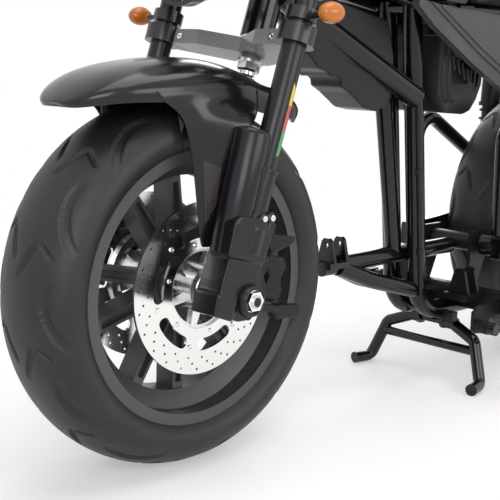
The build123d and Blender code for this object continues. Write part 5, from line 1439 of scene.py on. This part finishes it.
# %% A honeycomb printed on the tinted panels
CELL = 0.0052               # from a cell's centre to its corner
LINE = 0.0005
CELL_SQUEEZE = 0.92         # the columns stand a little closer than true hexagons
CELL_FIRST = (-0.0335, 0.442)
CELL_FACING = (0.43, 0.9)   # backwards and outwards, as the cheek flares
PRINT_LIFT = TINT_LIFT + 0.0003
CELLS = [(0, 0), (0, 1), (1, 0), (1, 1), (0, 2), (1, 2), (1, 3), (2, 3)]


def cell_outline():
    """A flat six-sided ring, one unit from centre to corner."""
    form = bmesh.new()
    turns = [math.pi / 3 * corner for corner in range(6)]
    outer = [form.verts.new((math.cos(t), math.sin(t), 0)) for t in turns]
    inside = 1 - 2 * LINE / CELL
    inner = [form.verts.new((inside * math.cos(t), inside * math.sin(t), 0)) for t in turns]
    for corner in range(6):
        after = (corner + 1) % 6
        form.faces.new((outer[corner], outer[after], inner[after], inner[corner]))
    return mesh_from("cell_outline", form)


cell_spots = []
for side in SIDES:
    for column, row in CELLS:
        x = CELL_FIRST[0] + 1.5 * CELL * column * CELL_SQUEEZE
        z = CELL_FIRST[1] + math.sqrt(3) * CELL * (row + 0.5 * (column % 2))
        place = (AXLE_X + x, side * (cheek_out(x) + PRINT_LIFT), z)
        facing = Vector((CELL_FACING[0], side * CELL_FACING[1], 0)).normalized()
        cell_spots.append((place, facing, CELL))
cell_form = helper_object("cell_outline", cell_outline())
grow("cheek_honeycomb", set_on_points, "fork", "gloss_black", points_mesh("cells", cell_spots),
     Form=cell_form, Finish=FINISHES["copper"])

# %% [markdown]
# ## Castings round the front axle
# The foot of each fork leg is an aluminium casting: a clamp round the slider, a thick body
# below it and a boss that sinks the axle nut. Castings have no sharp edges, because metal
# must flow and the mould must part. Here plain prisms and rods overlap, a voxel remesh
# melts them into one skin and a few rounds of smoothing give every edge its radius.

# %% Overlapping blocks melted into one skin
CAST_VOXEL = 0.0021
CAST_ROUNDS = 7


def block(form, near_places, far_places):
    """A closed block between two matching outlines."""
    near = [form.verts.new(place) for place in near_places]
    far = [form.verts.new(place) for place in far_places]
    faces = [form.faces.new(near), form.faces.new(far[::-1])]
    for first in range(len(near)):
        after = (first + 1) % len(near)
        faces.append(form.faces.new((near[first], far[first], far[after], near[after])))
    bmesh.ops.recalc_face_normals(form, faces=faces)


def prism(form, outline, inner, outer, side):
    """A block with an outline seen from beside the fork, between two distances from the middle."""
    block(form, [on_fork(back, side * inner, up) for back, up in outline],
          [on_fork(back, side * outer, up) for back, up in outline])


def rod(form, start, end, radius, end_radius=None):
    """A round bar between two places."""
    start, end = Vector(start), Vector(end)
    along = end - start
    turn = along.to_track_quat("Z", "Y").to_matrix().to_4x4()
    bmesh.ops.create_cone(form, cap_ends=True, segments=28, radius1=radius,
                          radius2=end_radius or radius,
                          depth=along.length, matrix=Matrix.Translation((start + end) / 2) @ turn)


def melted(name, form, voxel=CAST_VOXEL, rounds=CAST_ROUNDS):
    """One rounded skin over everything in the form."""
    return modified(name, mesh_from(name, form), remeshed(voxel),
                    ("SMOOTH", {"factor": 0.5, "iterations": rounds}))


# %% Foot castings
AXLE_BACK = -0.047
AXLE_UP = -0.4126
FOOT_OUTLINE = [(-0.112, -0.350), (-0.040, -0.338), (-0.038, -0.385), (-0.026, -0.398),
                (-0.023, -0.428),
                (-0.034, -0.443), (-0.058, -0.450), (-0.112, -0.446), (-0.114, -0.395)]
LUG_OUTLINE = [(-0.120, -0.415), (-0.074, -0.412), (-0.076, -0.452), (-0.117, -0.450)]
CLAMP_OUTLINE = [(-0.120, -0.356), (-0.124, -0.303), (-0.115, -0.291), (-0.080, -0.285),
                 (-0.060, -0.287),
                 (-0.044, -0.297), (-0.038, -0.308), (-0.039, -0.352)]
EAR_ROOT, EAR_R = 0.150, 0.0090


def foot_casting(side):
    form = bmesh.new()
    prism(form, CLAMP_OUTLINE, 0.146, 0.1925, side)
    prism(form, FOOT_OUTLINE, 0.134, 0.187, side)
    prism(form, LUG_OUTLINE, 0.134, 0.191, side)
    for back, up in PINCH_EARS:
        rod(form, on_fork(back, side * EAR_ROOT, up), on_fork(back, side * EAR_FACE, up), EAR_R)
    rod(form, on_fork(-LEG_AHEAD, side * LEG_SIDE, -0.300),
        on_fork(-LEG_AHEAD, side * LEG_SIDE, -0.340),
        0.0305)
    return melted("foot_casting", form)


def nut_well(side):
    """The raised ring that the axle nut sits in."""
    profile = [(0.0185, -0.012), (0.0185, 0.010), (0.0195, 0.0125), (0.0225, 0.0125),
               (0.0245, 0.0105),
               (0.0260, 0.004), (0.0290, -0.004), (0.0290, -0.012), (0.0185, -0.012)]
    return turned_form("nut_well", profile, on_fork(AXLE_BACK, side * 0.187, AXLE_UP), (0, side, 0),
                       48)


feet = both(foot_casting) + both(nut_well)
add_piece("foot_castings", merged("foot_castings", feet, FINISHES["slider"]), "fork")

# %% [markdown]
# ## The front calipers
# A caliper straddles the disc: pads on both faces, bars that guide them and prongs that hold the
# whole to the fork's foot. Two short lists, of plates and of bars, say what there is, and the
# remesh that melted the foot castings joins them into one casting.

# %% Calipers behind the fork legs
UPPER_PRONG = [(0.022, -0.318), (0.036, -0.329), (0.079, -0.302), (0.084, -0.288), (0.018, -0.296)]
LOWER_PRONG = [(0.076, -0.424), (0.088, -0.434), (0.140, -0.421), (0.147, -0.408), (0.138, -0.398),
               (0.086, -0.408)]
OUTER_PAD = [(0.020, -0.334), (0.036, -0.338), (0.046, -0.352), (0.038, -0.366), (0.052, -0.384),
             (0.058, -0.402), (0.042, -0.412), (0.030, -0.398), (0.024, -0.378), (0.028, -0.360)]
INNER_PAD = [(0.056, -0.328), (0.092, -0.326), (0.104, -0.342), (0.096, -0.362), (0.108, -0.384),
             (0.104, -0.406), (0.072, -0.408), (0.062, -0.388), (0.068, -0.366), (0.054, -0.348)]


# Plates: outline, inner and outer distance from the middle.
CALIPER_PLATES = [(UPPER_PRONG, 0.112, 0.134), (LOWER_PRONG, 0.112, 0.132),
                  (OUTER_PAD, 0.108, 0.124),
                  (INNER_PAD, 0.084, 0.110), (INNER_PAD, 0.054, 0.070)]
# Bars: start and end on the fork, then the radius.
CALIPER_BARS = [((-0.030, 0.122, -0.424), (0.092, 0.122, -0.416), 0.0070),
                ((-0.040, 0.130, -0.372), (0.034, 0.124, -0.336), 0.0080),
                ((-0.040, 0.134, -0.310), (0.040, 0.122, -0.306), 0.0095),
                ((0.040, 0.116, -0.345), (0.078, 0.100, -0.345), 0.0060),
                ((0.044, 0.116, -0.400), (0.086, 0.100, -0.398), 0.0060),
                ((0.076, 0.060, -0.336), (0.076, 0.112, -0.336), 0.0065),
                ((0.086, 0.060, -0.398), (0.086, 0.112, -0.398), 0.0065)]


def caliper(side):
    form = bmesh.new()
    for outline, inner, outer in CALIPER_PLATES:
        prism(form, outline, inner, outer, side)
    for start, end, radius in CALIPER_BARS:
        ends = [on_fork(back, side * out, up) for back, out, up in (start, end)]
        rod(form, *ends, radius)
    return melted("caliper", form)


calipers = both(caliper)
add_piece("front_caliper_pair", merged("front_caliper_pair", calipers, FINISHES["caliper"]), "fork",
          replaces=["front_calipers"])

# %% [markdown]
# ## Fork guards
# A moulded half tube shields each slider from the stones that the tyre throws up. It hangs from
# the fender's cheek, rounded over at the top and open at the foot. A profile turned about the
# guard's own axis gives the barrel; the shoulder that joins it to the fender is a plain block.

# %% The crown of the measured fender
SHELL_SHARP = 28                     # degrees
GUARD_R = 0.029
GUARD_HEAD = (-0.1045, 0.159, -0.150)       # behind, beside and along the steering axis
GUARD_TOE = (-0.0935, 0.159, -0.354)
CROWN_HALF = 0.1122                  # beyond it lie only the cheeks and guards
CROWN_FOOT = 0.606
CHEEK_SPAN = (-0.080, 0.085)
LEG_ROOT = 0.1045                    # the measured cheeks and guards lie outside it


def all_of(form):
    return form.verts[:] + form.edges[:] + form.faces[:]


def cut_off(form, place, outwards):
    """Takes away what lies beyond a plane and fills the opening."""
    cut = bmesh.ops.bisect_plane(form, geom=all_of(form), plane_co=place, plane_no=outwards,
                                 clear_outer=True)
    rim = [piece for piece in cut["geom_cut"] if isinstance(piece, bmesh.types.BMEdge)]
    rim = [edge for edge in rim if edge.is_valid and edge.is_boundary]
    bmesh.ops.holes_fill(form, edges=rim, sides=0)


def below_crown(face):
    middle = face.calc_center_median()
    return (abs(middle.y) > LEG_ROOT and middle.z < CROWN_FOOT
            and CHEEK_SPAN[0] < middle.x - AXLE_X < CHEEK_SPAN[1])


form = measured_form("front_fender", CASE_NEAR)
for side in SIDES:
    cut_off(form, (0, side * CROWN_HALF, 0), (0, side, 0))
bmesh.ops.bisect_plane(form, geom=all_of(form), plane_co=(0, 0, CROWN_FOOT), plane_no=(0, 0, 1))
bmesh.ops.delete(form, geom=[face for face in form.faces if below_crown(face)], context="FACES")
bmesh.ops.holes_fill(form, edges=[edge for edge in form.edges if edge.is_boundary], sides=0)
bmesh.ops.triangulate(form, faces=[face for face in form.faces if len(face.verts) > 4])
print("fender crown: open edges", sum(edge.is_boundary for edge in form.edges))
fender_mesh = dress(mesh_from("fender_shell", form), FINISHES["gloss"], SHELL_SHARP)
add_piece("fender_shell", fender_mesh, "fork", replaces=["front_fender"])

# %% Guards and shoulders
SHOULDER_OUT = (0.1050, 0.1082)      # its two faces, from the middle
SHOULDER_OUTLINE = [(-0.060, 0.604), (-0.040, 0.652), (0.050, 0.652), (0.066, 0.600),
                    (0.040, 0.552), (-0.010, 0.556)]


def guard_barrel(side):
    head_place, toe_place = [on_fork(back, side * out, up) for back, out,
                             up in (GUARD_HEAD, GUARD_TOE)]
    run = (head_place - toe_place).length
    profile = [(0.0, 0.0), (GUARD_R - 0.004, 0.0), (GUARD_R - 0.0015, 0.001), (GUARD_R, 0.004),
               (GUARD_R, run - 0.010), (GUARD_R - 0.0012, run - 0.005),
               (GUARD_R - 0.0045, run - 0.0012),
               (GUARD_R - 0.009, run), (0.0, run + 0.001)]
    return turned_form("guard", profile, toe_place, head_place - toe_place, 72)


def shoulder(side):
    """The dark wall between the crown of the fender and the head of the guard."""
    form = bmesh.new()
    block(form, *[[(AXLE_X + x, side * out, z) for x,
                   z in SHOULDER_OUTLINE] for out in SHOULDER_OUT])
    return mesh_from("shoulder", form)


barrels = both(guard_barrel)
add_piece("fork_guards", merged("fork_guards", barrels, FINISHES["fork_tube"]), "fork")
walls = merged("guard_shoulders", both(shoulder), FINISHES["moulded"], 30)
add_piece("guard_shoulders", walls, "fork")

# %% [markdown]
# ## Nuts, studs and hub rings
# Small turned parts finish the ends of the axle, the hub and the steering stem. A nut is a
# profile turned in six steps, where a washer takes forty, so one helper makes both. Shading
# stays flat across edges sharper than a given angle, which keeps the nut's corners crisp.

# %% Axle nuts
NUT_ACROSS = 0.0155                  # centre to corner
NUT_PLACE = 0.1905
NUT_SHARP = 24                       # degrees


def axle_nut(side):
    out = (0, side, 0)
    seat = on_fork(AXLE_BACK, side * NUT_PLACE, AXLE_UP)
    washer = turned_form("washer", [(0.0, -0.003), (0.0176, -0.003), (0.0176, 0.0), (0.0, 0.0)],
                         seat, out, 40)
    nut = turned_form("nut", [(0.0, -0.002), (NUT_ACROSS, -0.002), (NUT_ACROSS, 0.0088),
                              (0.0130, 0.0108),
                              (0.0, 0.0108)], seat, out, 6)
    ring = turned_form("ring", [(0.0, 0.009), (0.0112, 0.009), (0.0112, 0.0132), (0.0102, 0.0142),
                                (0.0078, 0.0142), (0.0072, 0.0125), (0.0, 0.0125)], seat, out, 40)
    return [washer, nut, ring]


def stud_end(side):
    return turned_form("stud", [(0.0, 0.010), (0.0069, 0.010), (0.0069, 0.0136), (0.0060, 0.0142),
                                (0.0, 0.0142)],
                       on_fork(AXLE_BACK, side * NUT_PLACE, AXLE_UP), (0, side, 0), 32)


nut_mesh = merged("axle_nuts", sum(both(axle_nut), []), FINISHES["nut"], NUT_SHARP)
add_piece("axle_nuts", nut_mesh, "fork")
stud_mesh = merged("axle_studs", both(stud_end), FINISHES["stud"], NUT_SHARP)
add_piece("axle_studs", stud_mesh, "fork")

# %% Hub rings
HUB_FACE = 0.0925
ring_profile = [(0.0240, -0.004), (0.0240, 0.001), (0.0255, 0.0022), (0.0290, 0.0022),
                (0.0310, 0.0005),
                (0.0310, -0.004), (0.0240, -0.004)]
well_profile = [(0.0245, 0.0004), (0.0225, 0.0014), (0.0200, 0.0010), (0.0190, -0.0030),
                (0.0190, -0.0035),
                (0.0245, -0.0035), (0.0245, 0.0004)]
hub_faces = [(side, Vector((front_hub.x, side * HUB_FACE, front_hub.z))) for side in SIDES]
rings = [turned_form("ring", ring_profile, place, (0, side, 0), 56) for side, place in hub_faces]
wells = [turned_form("well", well_profile, place, (0, side, 0), 56) for side, place in hub_faces]
add_piece("hub_rings", merged("hub_rings", rings, FINISHES["alloy"]), "front_wheel")
add_piece("hub_seals", merged("hub_seals", wells, FINISHES["grip"]), "front_wheel")

# %% Stem nut under the lower clamp
NUT_UP = -0.006
stem_seat = on_fork(0, 0, NUT_UP)
stem_parts = [turned_form("flange", [(0.0, 0.0), (0.0235, 0.0), (0.0235, 0.005), (0.0, 0.005)],
                          stem_seat, -STEERING_UP, 40),
              turned_form("hex", [(0.0, 0.004), (0.0205, 0.004), (0.0205, 0.017), (0.0175, 0.020),
                                  (0.0, 0.020)],
                          stem_seat, -STEERING_UP, 6),
              turned_form("end", [(0.0, 0.018), (0.0135, 0.018), (0.0135, 0.026), (0.0105, 0.029),
                                  (0.0, 0.029)],
                          stem_seat, -STEERING_UP, 40)]
stem_mesh = merged("stem_nut", stem_parts, FINISHES["nut"], NUT_SHARP)
add_piece("stem_nut", stem_mesh, "fork")

# %% [markdown]
# ## Battery and controller case
# The battery hangs between the two spars of the frame: a tall spine with a belly that swells
# below the tubes. Its case is moulded, so its corners are round. An outline pressed through its
# width, melted and smoothed as the castings were, gives them. The controller's case is a tub
# with a round lower corner at the back; three slanting cuts through the measured one round it.

# %% Battery
BATTERY_HALF = 0.040
BATTERY_OUTLINE = [(-0.328, 0.702), (-0.294, 0.674), (-0.272, 0.668), (-0.262, 0.660),
                   (-0.246, 0.662),
                   (-0.234, 0.654), (-0.231, 0.642), (-0.208, 0.631), (-0.160, 0.601),
                   (-0.124, 0.595),
                   (-0.094, 0.603), (-0.079, 0.623), (-0.076, 0.700), (-0.100, 0.770),
                   (-0.290, 0.806),
                   (-0.318, 0.790)]
BATTERY_RIBS = [((-0.300, 0.712), (-0.110, 0.652)), ((-0.292, 0.703), (-0.100, 0.641)),
                ((-0.280, 0.694), (-0.094, 0.632))]


def pressed(form, outline, half):
    """An outline seen from beside, pressed through from one side to the other."""
    block(form, [(x, -half, z) for x, z in outline], [(x, half, z) for x, z in outline])


def ribs_beside(form, lines, half, radius):
    """Round ribs along lines seen from beside, on both faces of a case."""
    for (ax, az), (bx, bz) in lines:
        for side in SIDES:
            rod(form, (ax, side * half, az), (bx, side * half, bz), radius)


form = bmesh.new()
pressed(form, BATTERY_OUTLINE, BATTERY_HALF)
ribs_beside(form, BATTERY_RIBS, BATTERY_HALF, 0.0022)
battery_mesh = merged("battery_shell", [melted("battery", form, 0.0026, 5)], FINISHES["case"])
add_piece("battery_shell", battery_mesh, "frame", replaces=["battery_case"])

# %% Controller case
ROUNDING = [((0.109, 0.582), (0.152, 0.596)), ((0.152, 0.596), (0.172, 0.618)),
            ((0.172, 0.618), (0.190, 0.652))]
form = measured_form("controller_case", CASE_NEAR)
for (ax, az), (bx, bz) in ROUNDING:
    cut_off(form, (ax, 0, az), Vector((bz - az, 0, ax - bx)).normalized())
bmesh.ops.triangulate(form, faces=[face for face in form.faces if len(face.verts) > 4])
print("controller: open edges", sum(edge.is_boundary for edge in form.edges))
case_mesh = dress(mesh_from("controller_shell", form), FINISHES["case"], SHELL_SHARP)
add_piece("controller_shell", case_mesh, "frame", replaces=["controller_case"])

# %% [markdown]
# ## Vent ribs
# Ribs beside the vents stiffen the thin wall of the case. They are round bars along four lines,
# repeated on both faces and melted at a small voxel so that their ends come out rounded.

# %% Ribs on the controller case
CASE_HALF = 0.070
VENT_RIBS = [((0.078, 0.711), (0.086, 0.678)), ((0.095, 0.703), (0.106, 0.671)),
             ((0.113, 0.695), (0.125, 0.660)),
             ((0.132, 0.685), (0.141, 0.652))]
form = bmesh.new()
ribs_beside(form, VENT_RIBS, CASE_HALF, 0.0042)
rib_mesh = merged("case_ribs", [melted("case_ribs", form, 0.0011, 6)], FINISHES["moulded"])
add_piece("case_ribs", rib_mesh, "frame")

# %% Clear the helpers and finish
for holder in HELPERS:
    bpy.data.objects.remove(holder)
